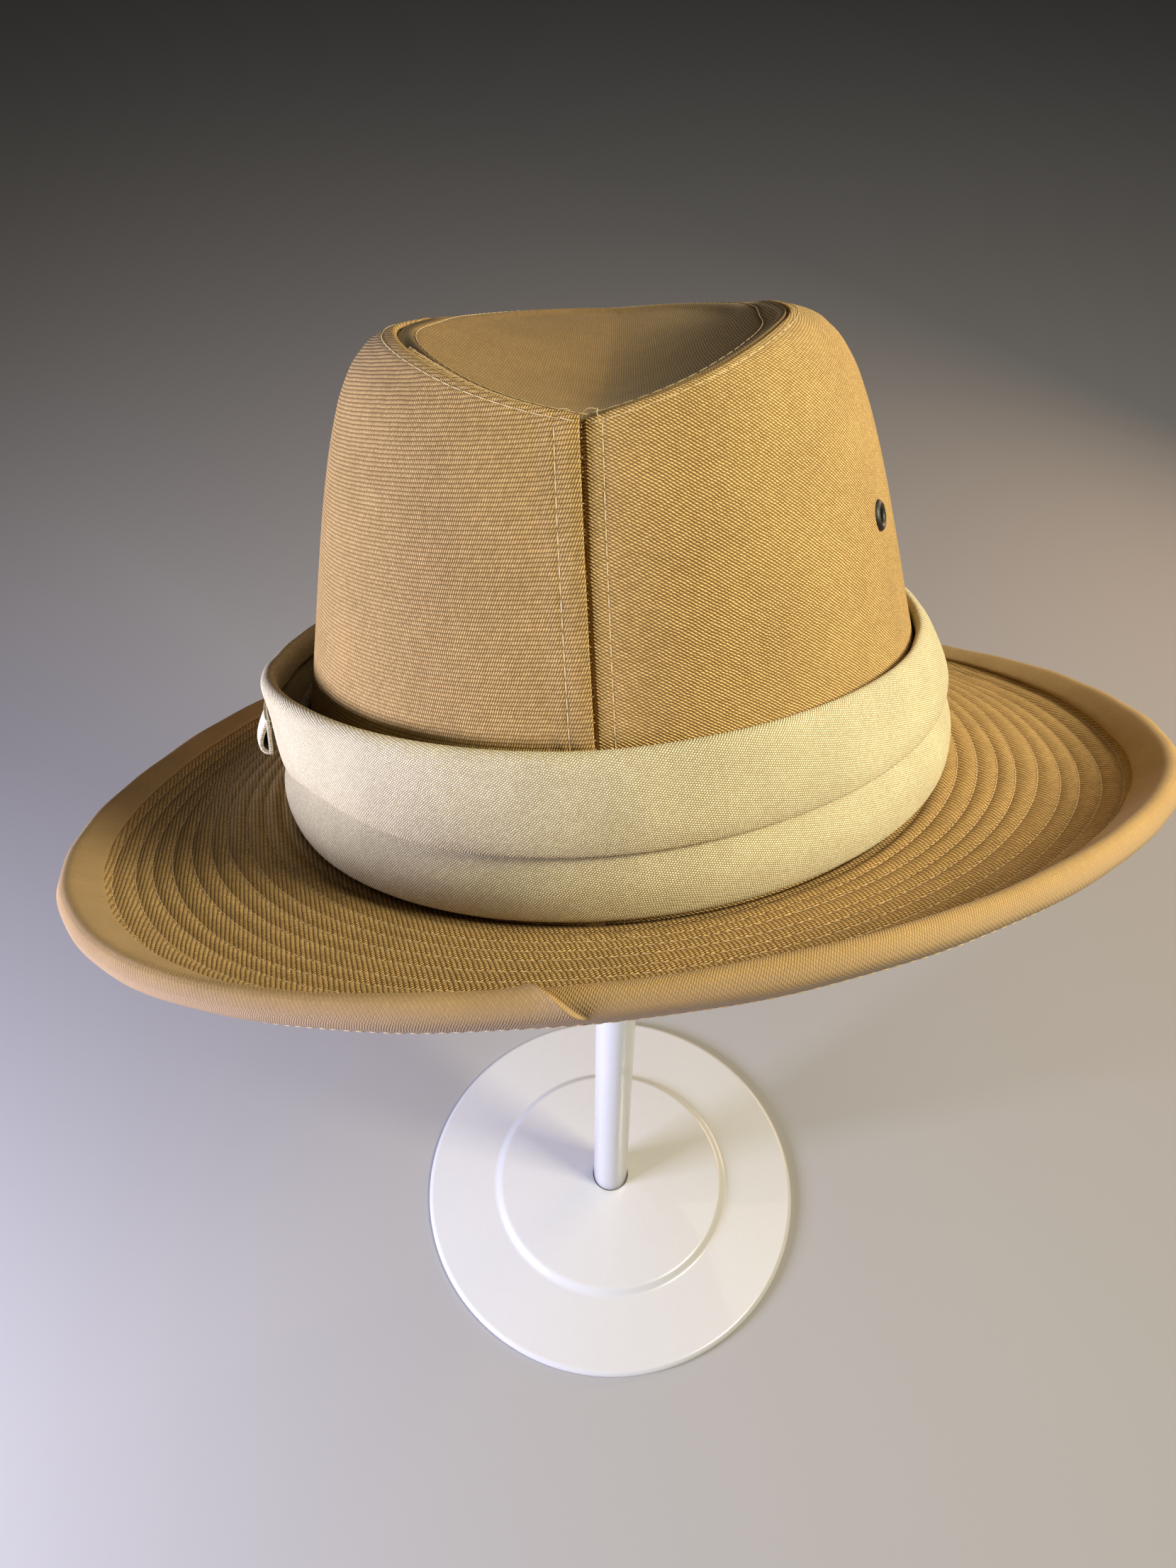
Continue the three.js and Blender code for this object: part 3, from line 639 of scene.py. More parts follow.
# %% Right panel and its vent
VENT_AROUND = (120, 127.5)
VENT_SHARE = (0.54, 0.7)
FINER_WITHIN = 8
HOLE, BARREL, FLANGE, BACK_FLANGE, RIM = 1.8, 2.4, 3.7, 3.4, 0.9

vent_corners = leaned(crown_shape(np.array(VENT_AROUND)[None, :], np.array(VENT_SHARE)[:, None]))
vent_axis = unit(np.cross(vent_corners[1, 1] - vent_corners[0, 0], vent_corners[0, 1] - vent_corners[1, 0]))
vent_middle = Vector(seated(vent_corners.mean((0, 1))))


def faces_near_vent(shape, distance):
    return [face for face in shape.faces if (face.calc_center_median() - vent_middle).length < distance * MM]


right_shape = lay_cloth(right_panel.places, right_panel.weave)
edges = dict.fromkeys(edge for face in faces_near_vent(right_shape, FINER_WITHIN) for edge in face.edges)
bmesh.ops.subdivide_edges(right_shape, edges=list(edges), cuts=6, use_grid_fill=True)
bmesh.ops.delete(right_shape, geom=faces_near_vent(right_shape, BARREL + 0.5), context="FACES")
finish_piece("crown_right_cloth", right_shape, right_twill, "crown_right", CROWN_WALL)


def turned_shape(profile, steps, matrix):
    """A profile of (radius, height) in millimetres turned round its axis.

    It is laid as a grid, because a spun mesh can list its corners in another order each run.
    """
    turn = np.linspace(0, 2 * np.pi, steps + 1)
    radius, height = np.array(profile, float).T[..., None]
    places = stacked(radius * np.cos(turn), radius * np.sin(turn), height) * MM
    rows = len(profile) - 1
    shape = bmesh.new()
    bmesh.ops.create_grid(shape, x_segments=steps, y_segments=rows, size=0.5)
    for vert, corner in grid_corners(shape, rows, steps).items():
        vert.co = places[corner]
    bmesh.ops.remove_doubles(shape, verts=shape.verts, dist=1e-6)
    bmesh.ops.transform(shape, matrix=matrix, verts=shape.verts)
    return shape


def softened(profile, radius, steps=5):
    """The profile with each inner corner rounded."""
    points = [np.array(point, float) for point in profile]
    rounded = [points[0]]
    for before, corner, after in zip(points, points[1:], points[2:]):
        into, away = corner - before, after - corner
        cut = min(radius, 0.45 * np.linalg.norm(into), 0.45 * np.linalg.norm(away))
        start = corner - cut * into / np.linalg.norm(into)
        end = corner + cut * away / np.linalg.norm(away)
        for t in np.linspace(0, 1, steps):
            rounded.append((1 - t) ** 2 * start + 2 * t * (1 - t) * corner + t * t * end)
    return rounded + [points[-1]]


behind = -(CROWN_CLOTH + GAP)
vent_profile = [
    (HOLE, behind), (HOLE, behind - RIM), (BACK_FLANGE, behind - RIM), (BACK_FLANGE, behind),
    (BARREL, behind), (BARREL, GAP - 0.3), (FLANGE, GAP - 0.3), (FLANGE - 0.3, GAP + RIM / 2),
    ((FLANGE + HOLE) / 2, GAP + RIM), (HOLE, GAP + RIM / 2), (HOLE, behind),
]
vent_way = Vector(SEAT_MATRIX @ vent_axis)
vent_matrix = Matrix.Translation(vent_middle) @ vent_way.to_track_quat("Z", "Y").to_matrix().to_4x4()
finish_piece("vent", turned_shape(softened(vent_profile, 0.35), 40, vent_matrix), black_enamel, "eyelet")

# %% [markdown]
# The tip is the top panel, pinched in from front to back. It hangs inside the lip of the crown wall
# and falls into the dent, so it is laid as rings that shrink onto the crease. Its cotton is coloured
# much darker than the walls', as painted shade over the whole tip. Left of the notch its edge has sunk
# away from the lip. The shade map paints shade into that gap, and a thin line of painted shade along
# the rest of the edge except at the front.

# %% Crown tip
TIP_COLUMNS = 300
TIP_ROWS = 64
DENT_DRIFT = 0.03
DENT_REACH = 0.86
DENT_SHARPNESS = 1.45
NOTCH_END = (176, 192)
PULLED_END = (212, 247)
EASED_END = (262, 295)


def tip_edge(around):
    """Where the tip meets the inside of the crown's wall."""
    edge = crown_shape(around, 1.0)
    rising = edge - crown_shape(around, 0.99)
    along = crown_shape(around + 1.0, 1.0) - crown_shape(around - 1.0, 1.0)
    flat = np.linalg.norm(unit(np.cross(rising, along))[..., :2], axis=-1)
    return edge - outwards(around) * (CROWN_CLOTH * flat + GAP)[..., None]


TIP_BACK = tip_edge(np.array(180.0))[1]
TIP_MIDDLE = (TIP_BACK + tip_edge(np.array(0.0))[1]) / 2


def tip_face(around, share):
    edge = tip_edge(around)
    along = TIP_MIDDLE + (edge[..., 1] - TIP_MIDDLE) * (DENT_REACH + (1 - DENT_REACH) * share)
    valley = DENT_DRIFT * (along - TIP_BACK)
    rise = edge[..., 2] - dent_floor(edge[..., 1])[0]
    height = dent_floor(along)[0] + rise * share ** DENT_SHARPNESS
    return leaned(stacked(valley + (edge[..., 0] - valley) * share, along, height))


tip_around = np.linspace(0, 360, TIP_COLUMNS + 1)[None, :]
tip_share = (1 - (1 - np.linspace(0, 1, TIP_ROWS + 1)) ** 1.5)[:, None]
tip_flat = tip_face(tip_around, tip_share)
tip_flat[:, -1] = tip_flat[:, 0]
tip_in = run_lengths(tip_flat, 0)
tip_in = tip_in[-1:] - tip_in
tip_normal = facing(tip_flat, np.array([0.0, 0, 1]))
tip_normal[:, [0, -1]] = unit(tip_normal[:, 1] + tip_normal[:, -2])[:, None]

past_notch = 1 - step_down(tip_around, *NOTCH_END)
on_left = past_notch * step_down(tip_around, *PULLED_END)
far_left = past_notch * step_down(tip_around, *EASED_END)
on_right = step_down(np.abs(tip_around - 138), 18, 46)
at_front = near_front(tip_around)
tip_stitch = 3.0 + 1.8 * on_left + 2.4 * on_right
sunk = (0.1 + 0.4 * far_left + 2.6 * on_left) * step_down(tip_in, 0.6 + 0.6 * on_left, 2.2 + 2 * on_left)
sunk = sunk + 0.6 * at_front * dip(tip_in, 0, 2.5)
tip_lift = 0.7 * at_front * dip(tip_in, 5.5, 3.5) - 0.15 * dip(tip_in, tip_stitch, 0.5) - sunk
tip_lift = tip_lift * (1 - step_down(tip_share, 0, 0.2))
tip_places = tip_flat + tip_normal * tip_lift[..., None]
# Painted shade: darkest in the sunk gap left of the notch, and a faint line along the edge except at the
# front.
tip_shade = np.maximum(on_left * step_down(tip_in, 2.6, 5.4), 0.8 * far_left * step_down(tip_in, 0.8, 2.8))
tip_shade = np.maximum(tip_shade, 0.35 * step_down(tip_in, 0.3, 1.6) * (1 - at_front))
finish_piece("crown_tip_cloth", lay_cloth(tip_places, tip_flat[..., :2], tip_shade), tip_shaded_twill, "crown_tip",
             CROWN_WALL)

# %% [markdown]
# The brim is two layers of twill quilted together in ten rings. Each ring pulls the cloth down, so
# the brim rises a little between the rings like ribs.

# %% Brim
BRIM_COLUMNS = 300
BRIM_ROOT = -1
CURL_START = 0.6
RING_FIRST = 8.5
RING_PITCH = 4.9
RINGS = 10
ROWS_A_RING = 12
QUILT = 0.6


def brim_middle(around, share):
    """Middle of the brim's cloth, the way up from it and the way out along it."""
    width, slope, curl = brim_shape(around)
    slope = np.radians(slope)
    curled = np.maximum(share - CURL_START, 0) / (1 - CURL_START)
    run = width * share * np.cos(slope)
    rise = width * share * np.sin(slope) + curl * curled ** 2
    steep = np.tan(slope) + 2 * curl * curled / ((1 - CURL_START) * width * np.cos(slope))
    tilt = np.where(share > 0, np.arctan(steep), 0)
    way = outwards(around)
    place = leaned(crown_shape(around, np.zeros_like(share * around))) + way * (GAP + run)[..., None]
    place[..., 2] = BRIM_ROOT + rise
    up = way * -np.sin(tilt)[..., None]
    up[..., 2] = np.cos(tilt)
    out = way * np.cos(tilt)[..., None]
    out[..., 2] = np.sin(tilt)
    return place, up, out


def ring_stray(around, ring):
    """A sewn ring is never quite true."""
    turn = np.radians(around)
    return 0.28 * np.sin(3 * turn + 1.7 * ring) + 0.2 * np.sin(7 * turn + 2.9 * ring)


def ring_place(around, phase):
    """Distance in from the brim's edge at a phase counted in rings."""
    low = np.floor(phase)
    stray = ring_stray(around, low) + (phase - low) * (ring_stray(around, low + 1) - ring_stray(around, low))
    return RING_FIRST + RING_PITCH * phase + stray * np.clip(phase + 1.7, 0, 1)


def quilted(phase):
    """Height of the quilted face over the cloth's middle."""
    rib = np.abs(np.sin(np.pi * np.clip(phase, -0.5, RINGS - 0.5))) ** 0.9
    return BRIM_CLOTH / 2 - QUILT + QUILT * rib + 0.2


def brim_side(around, phase, hand):
    """One face of the brim, laid in rows that follow the rings from the crown out to the edge."""
    width = brim_shape(around)[0]
    from_edge = np.minimum(ring_place(around, phase), width)
    from_edge[0], from_edge[-1] = width, 0
    place, up, out = brim_middle(around, 1 - from_edge / width)
    return place + hand * up * quilted(phase)[..., None]


brim_around = np.linspace(0, 360, BRIM_COLUMNS + 1)[None, :]
ring_rows = np.arange(ROWS_A_RING * (RINGS - 1), -21, -1) / ROWS_A_RING
edge_phase = -RING_FIRST / RING_PITCH
phases = np.concatenate([[RINGS - 0.5, RINGS - 0.75], ring_rows, [edge_phase]])[:, None]
brim_top = brim_side(brim_around, phases, 1)
brim_under = brim_side(brim_around, phases, -1)[::-1]
brim_places = np.concatenate([brim_top, brim_under, brim_top[:1]])
brim_places[:, -1] = brim_places[:, 0]
finish_piece("brim_cloth", lay_cloth(brim_places, brim_places[..., :2]), brim_twill, "brim")

# %% [markdown]
# A bias strip is rolled over the brim's edge. Its joint at the back is a slanted lap, so the strip
# steps up along a diagonal there and settles again beyond it. The columns of the grid lean along
# that diagonal, which keeps the step a clean ridge.

# %% Binding
BINDING_COLUMNS = 420
# Past the brim's edge, and above the middle of its cloth
BINDING_ROLL = [
    (-6.5, 1.75), (-6.3, 2.2), (-5, 2.6), (-2.5, 2.95), (0, 3.0), (1.4, 2.75), (2.4, 2.1), (2.95, 1.1),
]
ROLL_CORE = -2
LAP_MIDDLE = (181.75, 11.9)
LAP_SLANT = 0.43
LAP_RISE = 0.8
LAP_FALL = 0.3


def beside_edge(around, past, above):
    """A point past the brim's edge by so much, and so far above the middle of its cloth."""
    within = np.minimum(past, 0)
    place, up, out = brim_middle(around, 1 + within / brim_shape(around)[0])
    return place + out * (past - within)[..., None] + up * above[..., None]


def smooth_line(points, steps):
    """A rounded line through points, the ends included."""
    points = np.asarray(points, float)
    padded = np.concatenate([points[:1], points, points[-1:]])
    line = []
    for a, b, c, d in zip(padded, padded[1:], padded[2:], padded[3:]):
        for t in np.arange(steps) / steps:
            line.append(b + 0.5 * t * (c - a + t * (2 * a - 5 * b + 4 * c - d + t * (3 * (b - c) + d - a))))
    return np.array(line + [points[-1]])


over = smooth_line(BINDING_ROLL, 5)
under = over[::-1] * np.array([1, -1])
slot_half = BRIM_CLOTH / 2 + 0.2
slot_line = [(-6.4, slot_half), (-3, slot_half), (GAP, slot_half)]
tucked = [(past, -above) for past, above in slot_line] + slot_line[::-1] + [tuple(over[0])]
section = np.concatenate([over, under, np.array(tucked)])
turns = np.linspace(0, 1, BINDING_COLUMNS + 1)
lengthwise = (360 * turns + 50 * np.sin(2 * np.pi * turns))[None, :]
girth = run_lengths(stacked(section[:, :1], section[:, 1:], 0), 0) + 0 * lengthwise
outer_rows = np.arange(len(section))[:, None] < 2 * len(over)

beyond = lengthwise - LAP_MIDDLE[0] + 0 * girth
slanted = np.where(outer_rows, -LAP_SLANT * (girth - LAP_MIDDLE[1]), 0)
binding_around = lengthwise + slanted * np.exp(-(beyond / 10) ** 2)
settled = np.maximum(beyond, 0)
fallen = 1 - step_down(-beyond, 0, LAP_FALL)
lap = LAP_RISE * (1 - fallen) * (0.5 * np.exp(-settled / 0.8) + 0.5 * np.exp(-settled / 5))
lap = lap - 0.25 * fallen * np.exp(-np.maximum(-beyond - LAP_FALL, 0) / 0.8)
lap = lap * step_down(girth, 13, 16.5)
turn = np.radians(binding_around)
swell = 1 + (lap + 0.12 * np.sin(turn * 23) * np.sin(turn * 8)) / 3
swell = np.where(outer_rows, swell, 1)
past = ROLL_CORE + (section[:, :1] - ROLL_CORE) * swell
above = section[:, 1:] * swell
binding_places = beside_edge(binding_around, past, above)
binding_places[-1] = binding_places[0]
binding_places[:, -1] = binding_places[:, 0]
binding_weave = np.stack([2.8 * binding_around, girth], -1)
# Painted shade on the under half of the roll, which faces down, tinted like the cool lamp.
binding_shade = 0.6 * (1 - step_down(girth, 11, 13.5))
finish_piece("binding_cloth", lay_cloth(binding_places, binding_weave, binding_shade), binding_twill,
             "brim_binding")

# %% [markdown]
# The band is one long strip of cream twill folded lengthwise twice. The lower fold sits on the brim,
# the upper one hangs over it, lies close at the back and gapes on the left.

# %% Hatband
BAND_CLOTH = 1.1
BAND_COLUMNS = 300
# Out from the crown, up from the brim, and the shares of slack, pleat and top that each fold takes
BAND_FOLDS = np.array([
    (1.4, 0.6, 0, 0, 0), (4, 2.6, 0, 0, 0), (5.7, 9.3, 0, 0.4, 0), (4.2, 16.6, 0, 1, 0),
    (1.9, 22.5, 0, 1, 0), (1.9, 26, 0, 1, 0), (3.6, 26, 0, 1, 0), (5.1, 19.1, 0, 1, 0),
    (6.2, 18.3, 0, 1, 0), (6.9, 22.5, 0.15, 0.8, 0.2), (6.2, 30.5, 0.6, 0.3, 0.7), (5.3, 35.8, 1, 0, 1),
    (3.6, 37.3, 1, 0, 1), (2.3, 35, 0.95, 0, 1), (2.3, 30.5, 0.85, 0.2, 0.8),
])


def band_line(around):
    """Distance from the crown and height of the folded strip, along its width and round the hat."""
    slack, pleat, top = band_loose(around)
    width = brim_shape(around)[0]
    place, up, out = brim_middle(around, BAND_FOLDS[1, 0] / width)
    foot = (place + up * BRIM_CLOTH / 2)[..., 2] + GAP + BAND_CLOTH / 2
    folds = BAND_FOLDS[:, :, None]
    out = folds[:, 0] + folds[:, 2] * slack
    height = foot + folds[:, 1] + folds[:, 3] * pleat + folds[:, 4] * top
    return smooth_line(np.stack([out, height], -1), 6)


band_around = np.linspace(0, 360, BAND_COLUMNS + 1)
band_bends = band_line(band_around)
turn = np.radians(band_around)
pucker = 0.22 * np.sin(9 * turn + 0.6) + 0.16 * np.sin(17 * turn + 2) + 0.1 * np.sin(31 * turn)
loosened = np.linspace(0, 1, len(band_bends))[:, None] ** 2
band_out = band_bends[..., 0] + pucker * loosened
band_height = band_bends[..., 1] + 0.5 * pucker * np.sqrt(loosened)
band_places = crown_at_height(band_around[None, :], band_height)
band_places = band_places + outwards(band_around)[None] * band_out[..., None]
band_places[:, -1] = band_places[:, 0]
band_round = run_lengths(band_places, 1)
band_across = run_lengths(band_places, 0)
band_weave = np.stack([band_round[40:41] + 0 * band_across, band_across], -1)
band = finish_piece("hatband_cloth", lay_cloth(band_places, band_weave), cream_twill, "hatband",
                    (BAND_CLOTH - 0.1, 0))

# %% [markdown]
# On the left a flat bow of the same cream twill is gathered at its middle by a narrow keeper. Its cream
# is painted paler than the band's, as painted light. Both are sleeves of cloth with open ends, bent
# round the band they lie on.

# %% Bow and keeper
BOW_HEIGHT = 24.5
BOW_FLARE = math.radians(-4.5)


def bow_sleeve(start, end, columns, grow):
    """A flattened sleeve against the band, from one angle to another, grown to go round another."""
    around = np.linspace(start, end, columns + 1)
    width, depth = bow_shape(around)
    way = outwards(around)
    out = way * math.cos(BOW_FLARE)
    out[..., 2] = -math.sin(BOW_FLARE)
    up = way * math.sin(BOW_FLARE)
    up[..., 2] = math.cos(BOW_FLARE)
    bends = band_line(around)
    corners = crown_at_height(around[None, :], bends[..., 1])
    corners = corners + way[None] * (bends[..., 0] + BAND_CLOTH / 2)[..., None]
    beside = np.abs(corners[..., 2] - BOW_HEIGHT) < width / 2 + 1
    band_reach = np.where(beside, (corners * out).sum(-1), -1e9).max(0)
    middle = crown_at_height(around, np.full_like(around, BOW_HEIGHT))
    short = band_reach + GAP + 0.05 - (middle * out).sum(-1)
    middle = middle + way * (short / math.cos(BOW_FLARE))[..., None]
    turn = np.linspace(0, 2 * np.pi, 49)[:, None]
    outer = (0.65 * depth + grow) * (0.75 - 0.45 * np.sin(turn))
    thick = np.where(np.cos(turn) > 0, outer, 0.15 + 0.1 * grow) * np.cos(turn)
    tall = (0.46 * width + grow) * np.sin(turn)
    places = middle + out * thick[..., None] + up * tall[..., None]
    places[-1] = places[0]
    return lay_cloth(places, np.stack([run_lengths(places, 1), run_lengths(places, 0)], -1))


finish_piece("bow_cloth", bow_sleeve(245.5, 277, 60, 0), bow_lit_twill, "bow", (1.0, -1))
finish_piece("keeper_cloth", bow_sleeve(256.6, 263.4, 14, 0.8), bow_lit_twill, "bow_keeper",
             (0.7, -1))

# %% [markdown]
# Sewing thread shows as rows of short plump stitches. Each is a small capsule; a whole row is one
# mesh made from arrays, with every stitch turned along its row and set a little into the cloth.

# %% Stitches
chance = np.random.default_rng(7)


def capsule(sides, rings):
    """Corners and faces of a bead one unit across, with its ends along the first axis."""
    bead = [(0.5 * math.sin(turn), 0.5 * math.cos(turn)) for turn in np.linspace(0, np.pi, rings + 1)]
    shape = turned_shape(bead, sides, Matrix.Scale(1 / MM, 4) @ Matrix.Rotation(math.pi / 2, 4, "Z"))
    bmesh.ops.recalc_face_normals(shape, faces=shape.faces)
    shape.verts.index_update()
    corners = np.array([vert.co[:] for vert in shape.verts])[:, [2, 0, 1]]
    faces = [[vert.index for vert in face.verts] for face in shape.faces]
    shape.free()
    return corners, faces


def joined(marks):
    """Many rows of (middles, directions, ups) as one."""
    return [np.concatenate(part) for part in zip(*marks)]


def sew(name, marks, size, material, sides=6, rings=4):
    """Stitches of size (length, width, height) in millimetres at marks in the hat's own frame."""
    corners, faces = capsule(sides, rings)
    middles, alongs, ups = marks[0], unit(marks[1]), unit(marks[2])
    sideways = unit(np.cross(ups, alongs))
    size = np.asarray(size, float) * np.ones((len(middles), 3))
    spread = corners[None] * size[:, None]
    places = middles[:, None] + spread[..., :1] * alongs[:, None] + spread[..., 1:2] * sideways[:, None]
    places = seated(places + spread[..., 2:] * ups[:, None]).reshape(-1, 3)
    count = len(corners)
    every = [[index + count * stitch for index in face] for stitch in range(len(middles)) for face in faces]
    mesh = bpy.data.meshes.new(name)
    mesh.from_pydata(places.tolist(), [], every)
    keep_piece(name, mesh, material)
    print(name, len(middles), "stitches")


def read_along(where, lengths, values):
    """Points read off a line at lengths along it."""
    return np.stack([np.interp(where, lengths, values[:, k]) for k in range(3)], -1)


def stitch_marks(line, ups, pitch):
    """Middles, directions and ups of stitches along a line, one every pitch millimetres."""
    length = run_lengths(line, 0)
    at = np.arange(pitch / 2, length[-1] - pitch / 4, pitch) + chance.uniform(-0.12, 0.12)
    at = at + chance.normal(0, 0.03 * pitch, len(at))
    alongs = read_along(at + 0.2 * pitch, length, line) - read_along(at - 0.2 * pitch, length, line)
    return read_along(at, length, line), alongs, read_along(at, length, ups)


def thread_material(name, colour):
    dull = tuple(0.6 * value for value in colour)
    made = uneven_material(name, dull, colour, (0.7, 0.5), 900, 0.04)
    made.node_tree.nodes["Principled BSDF"].inputs["Sheen Weight"].default_value = 0.2
    return made


pale_thread = thread_material("pale_thread", (0.72, 0.56, 0.31))
tan_thread = thread_material("tan_thread", (0.74, 0.53, 0.28))
dull_thread = thread_material("dull_thread", (0.44, 0.30, 0.14))
print("threads", pale_thread.name, tan_thread.name, dull_thread.name)

# %% [markdown]
# A row of pale topstitching holds the fold on each side of the centre-back seam, and the same at the
# front. Another pair follows the tip seam, one row on the wall and one on the tip.

# %% Topstitching on the crown
SEAM_PITCH = 3.2
TIP_PITCH = 3.0


def row_beside_seam(places, normal, from_seam, distance):
    """The line at a distance from a seam, from the foot to the top."""
    rows = range(1, len(places) - 4)
    return [np.array([read_along(distance, from_seam[r], values[r]) for r in rows])
            for values in (places, normal)]


def row_below_top(panel):
    """The wall's topstitching below its top edge, from the back seam to the front."""
    from_back = panel.from_back[-1]
    columns = np.flatnonzero((from_back > 1) & (from_back < from_back[-1] - 4))
    distance = wall_stitch(panel.around[-1])
    from_top = panel.from_top[::-1]
    return [np.array([read_along(distance[c], from_top[:, c], values[::-1, c]) for c in columns])
            for values in (panel.places, panel.normal)]


seam_rows = []
for panel, distance, spare in ((left_panel, LEFT_STITCH, 0), (right_panel, RIGHT_STITCH, TUCK)):
    from_front = panel.from_back[:, -1:] - spare - panel.from_back
    back_row = row_beside_seam(panel.places, panel.normal, panel.from_back, distance)
    front_row = row_beside_seam(panel.places[:, ::-1], panel.normal[:, ::-1], from_front[:, ::-1], distance)
    seam_rows.append(stitch_marks(*back_row, SEAM_PITCH))
    seam_rows.append(stitch_marks(*front_row, SEAM_PITCH))
    seam_rows.append(stitch_marks(*row_below_top(panel), TIP_PITCH))


def tip_point(column, distance, cloth=tip_places):
    """Place and facing of the tip at a distance in from its edge."""
    inward = tip_in[::-1, column]
    return np.array([read_along(distance, inward, values[::-1, column]) for values in (cloth, tip_normal)])


tip_points = np.array([tip_point(column, tip_stitch[0, column]) for column in range(TIP_COLUMNS + 1)])
tip_line, tip_ups = tip_points[:, 0], tip_points[:, 1]
seam_rows.append(stitch_marks(tip_line + 0.12 * tip_ups, tip_ups, TIP_PITCH))

middles, alongs, ups = joined(seam_rows)
sew("crown_topstitch", (middles + 0.04 * ups, alongs, ups), (2.9, 0.25, 0.24), pale_thread,
    sides=8, rings=6)

# %% [markdown]
# On the left of the notch the tip has pulled away from the lip, and the bared threads of its edge
# lie side by side like a ladder. They run from front to back as the warp does, and are shorter
# towards both ends of the gap.

# %% Bared threads
LADDER_FROM, LADDER_TO = 184, 218
LADDER_PITCH = 0.78
LADDER_REACH = 4.0
LADDER_EDGE = 0.3
LADDER_RISES = (-1.0, -0.6, -0.3, -0.3)


def tip_spot(around, distance):
    """Place and facing of the unsunk tip at any angle and distance in from its edge."""
    column = (around % 360) / 360 * TIP_COLUMNS
    first = int(column)
    part = column - first
    return tip_point(first, distance, tip_flat) * (1 - part) + tip_point(first + 1, distance, tip_flat) * part


def as_chain(points, ups):
    """Short overlapping pieces of thread along a line."""
    return (points[1:] + points[:-1]) / 2, np.diff(points, axis=0), (ups[1:] + ups[:-1]) / 2


def thread_size(lengths, thickness):
    return np.stack([lengths, *np.full((2, len(lengths)), thickness)], -1)


def chain_size(marks, overlap, thickness):
    """Each piece of a chain is longer than its step by the overlap."""
    return thread_size(np.linalg.norm(marks[1], axis=1) * overlap, thickness)


edge_angles = np.linspace(LADDER_FROM, LADDER_TO, 400)
edge_length = run_lengths(np.array([tip_spot(around, LADDER_EDGE)[0] for around in edge_angles]), 0)
rungs = np.interp(np.arange(0, edge_length[-1], LADDER_PITCH), edge_length, edge_angles)
edge_step = edge_length[-1] / (LADDER_TO - LADDER_FROM)
bared = []
for around in rungs:
    inward = -outwards(around)
    tapered = min(1, 0.45 + (around - LADDER_FROM) / 30, 0.12 + (LADDER_TO - around) / 13)
    reach = LADDER_REACH * tapered + chance.normal(0, 0.2)
    slip = reach * inward[0] / max(inward[1], 0.3) / edge_step + chance.normal(0, 0.1)
    spots = [tip_spot(around + slip * t, LADDER_EDGE + reach * t) for t in (0, 0.33, 0.66, 1)]
    line = np.array([place + up * rise for (place, up), rise in zip(spots, LADDER_RISES)])
    bared.append(as_chain(line, np.array([up for place, up in spots])))
marks = joined(bared)
sew("bared_threads", marks, chain_size(marks, 1.35, 0.3), dull_thread)

# %% [markdown]
# The folded edge of the back seam frays into short fibres. A few ends of sewing thread were left
# loose too, at the notch and where the band meets the brim.

# %% Frayed and loose threads
FRAYS = 70
FRAY_THICKNESS = 0.09
# Points of each end by the notch, from the top of the back seam
NOTCH_ENDS = [
    [(0.2, 0.4, -0.4), (0.9, 0.2, 0.9), (2.2, 0.3, 1.2), (3.5, 0.8, 0.7)],
    [(-4.9, 0.2, 0.3), (-3.9, 0.9, 1.3), (-2.6, 1.4, 1.3), (-1.9, 1.8, 0.9)],
    [(3.4, -0.6, -0.6), (3.2, -0.2, 0.4), (3.3, 0.5, 1.1)],
]
# Degrees round the hat, how far aside each end by the band curls and how tall it stands
BAND_ENDS = [(177.5, 3.5, 1.4), (179.4, 5.5, 1.0), (181.3, 2.5, 1.6), (184.6, 4.5, 1.2)]
BAND_END_SHARE = 7.5 / 56

fray_rows = np.sort(chance.integers(10, len(left_panel.places) - 6, FRAYS))
fray_start = left_panel.places[fray_rows, 1]
fray_up = left_panel.normal[fray_rows, 1]
fray_end = np.array([right_panel.places[row, np.searchsorted(right_panel.from_back[row], 0.4)]
                     for row in fray_rows])
fray_way = fray_end - fray_start + stacked(0, 0, chance.normal(0, 0.5, FRAYS))
fray_size = thread_size(chance.uniform(0.25, 0.5, FRAYS), FRAY_THICKNESS)
sew("seam_fray", (fray_start + 0.3 * fray_way + 0.1 * fray_up, fray_way, fray_up), fray_size, tan_thread)

notch = leaned(crown_shape(180 + SEAM_STRAY, 1.0))
ends = [smooth_line(notch + np.array(points), 8) for points in NOTCH_ENDS]
for around, aside, tall in BAND_ENDS:
    root = brim_middle(np.array(around), np.array(BAND_END_SHARE))[0]
    curl = [(0, 2, 1.1), (0.5 * aside, -1, 1.2 + tall), (aside, -2, 1.3 + 0.4 * tall)]
    curl.append((0.7 * aside, -3.2, 1.3))
    ends.append(smooth_line(root + np.array(curl), 8))
marks = joined([as_chain(line, stacked(0 * line[:, 0], 0, 1)) for line in ends])
sew("loose_threads", marks, chain_size(marks, 1.5, 0.2), pale_thread)

# %% [markdown]
# Tan stitching follows the brim's rings. It is sewn through both layers, so the underside shows the
# same rings. The inmost of the ten comes too close to the crown at the right, so only nine are sewn.

# %% Stitching on the brim
RING_STITCH = 2.3
CROWN_CLEARANCE = 0.02


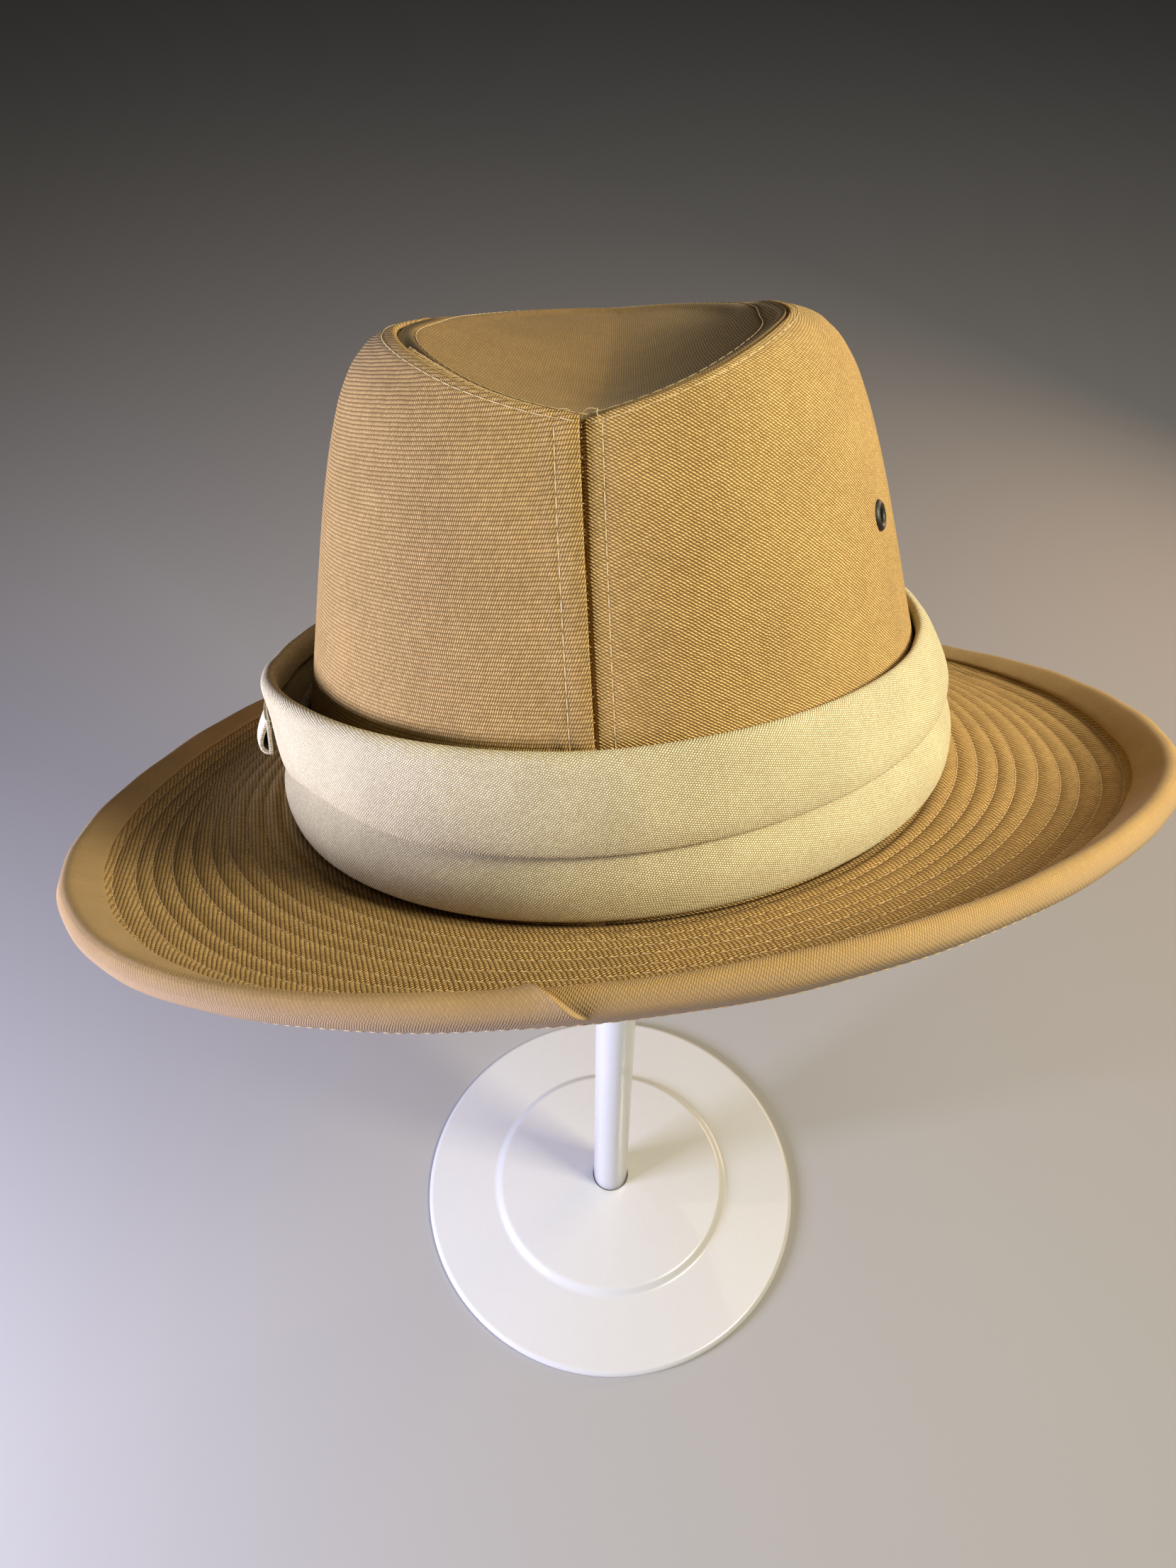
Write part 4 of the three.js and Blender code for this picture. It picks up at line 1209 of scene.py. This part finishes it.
def ring_marks(hand):
    """Stitches of every ring on the upper face, hand 1, or the under face, hand -1."""
    marks = []
    around = np.linspace(0, 360, 721)
    width = brim_shape(around)[0]
    for ring in range(RINGS):
        share = 1 - ring_place(around, ring) / width
        if share.min() < CROWN_CLEARANCE:
            continue
        place, up, out = brim_middle(around, share)
        lift = quilted(ring) + 0.02
        marks.append(stitch_marks(place + hand * up * lift, hand * up, RING_STITCH))
    return joined(marks)


for name, hand in (("brim_topstitch", 1), ("brim_understitch", -1)):
    sew(name, ring_marks(hand), (1.95, 0.32, 0.36), tan_thread)

# %% [markdown]
# The binding is sewn down by two rows of stitches on its outer, lower side, where the photograph
# shows them as a dotted line under the bright roll.

# %% Stitching on the binding
BINDING_STITCH = 2.6

binding_rows = []
for row in (2 * len(over) - 16, 2 * len(over) - 9):
    line = binding_places[row]
    up = unit(np.cross(np.gradient(binding_places, axis=0)[row], np.gradient(line, axis=0)))
    core = beside_edge(binding_around[row], np.full_like(past[row], ROLL_CORE), 0 * past[row])
    up = up * np.sign((up * (line - core)).sum(-1).mean())
    binding_rows.append(stitch_marks(line, up, BINDING_STITCH))
sew("binding_stitch", joined(binding_rows), (1.9, 0.45, 0.36), tan_thread)

# %% [markdown]
# The stand is turned white gloss: a stepped round foot, a plain post and a dome that fills the
# crown from inside. Turned profiles with softened corners give it clean highlights.

# %% Stand
BASE_PROFILE = [
    (0, 0), (95, 0), (95, 2), (93.5, 3.5), (60, 5.5), (57, 8), (12.8, 11), (8.8, 11), (8.8, 4), (0, 4),
]
POST_RADIUS, POST_FOOT = 8.5, 4.3
POST_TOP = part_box("stand_post")[1][2] / MM
DOME_BALL, DOME_RADIUS = 42, 30


def dome_height(reach):
    return POST_TOP - DOME_BALL + math.sqrt(DOME_BALL ** 2 - reach ** 2)


dome_edge = dome_height(DOME_RADIUS)
dome = [(reach, dome_height(reach)) for reach in np.linspace(DOME_RADIUS, 0, 12)]
post_profile = [
    (0, POST_FOOT), (POST_RADIUS, POST_FOOT), (POST_RADIUS, dome_edge - 20), (DOME_RADIUS, dome_edge - 6),
]
foot = turned_shape(softened(BASE_PROFILE, 1.2), 128, Matrix.Identity(4))
finish_piece("stand_foot", foot, white_gloss, "stand_base")
post = turned_shape(softened(post_profile + dome[:1], 2) + dome, 64, Matrix.Identity(4))
finish_piece("stand_pole", post, white_gloss, "stand_post")
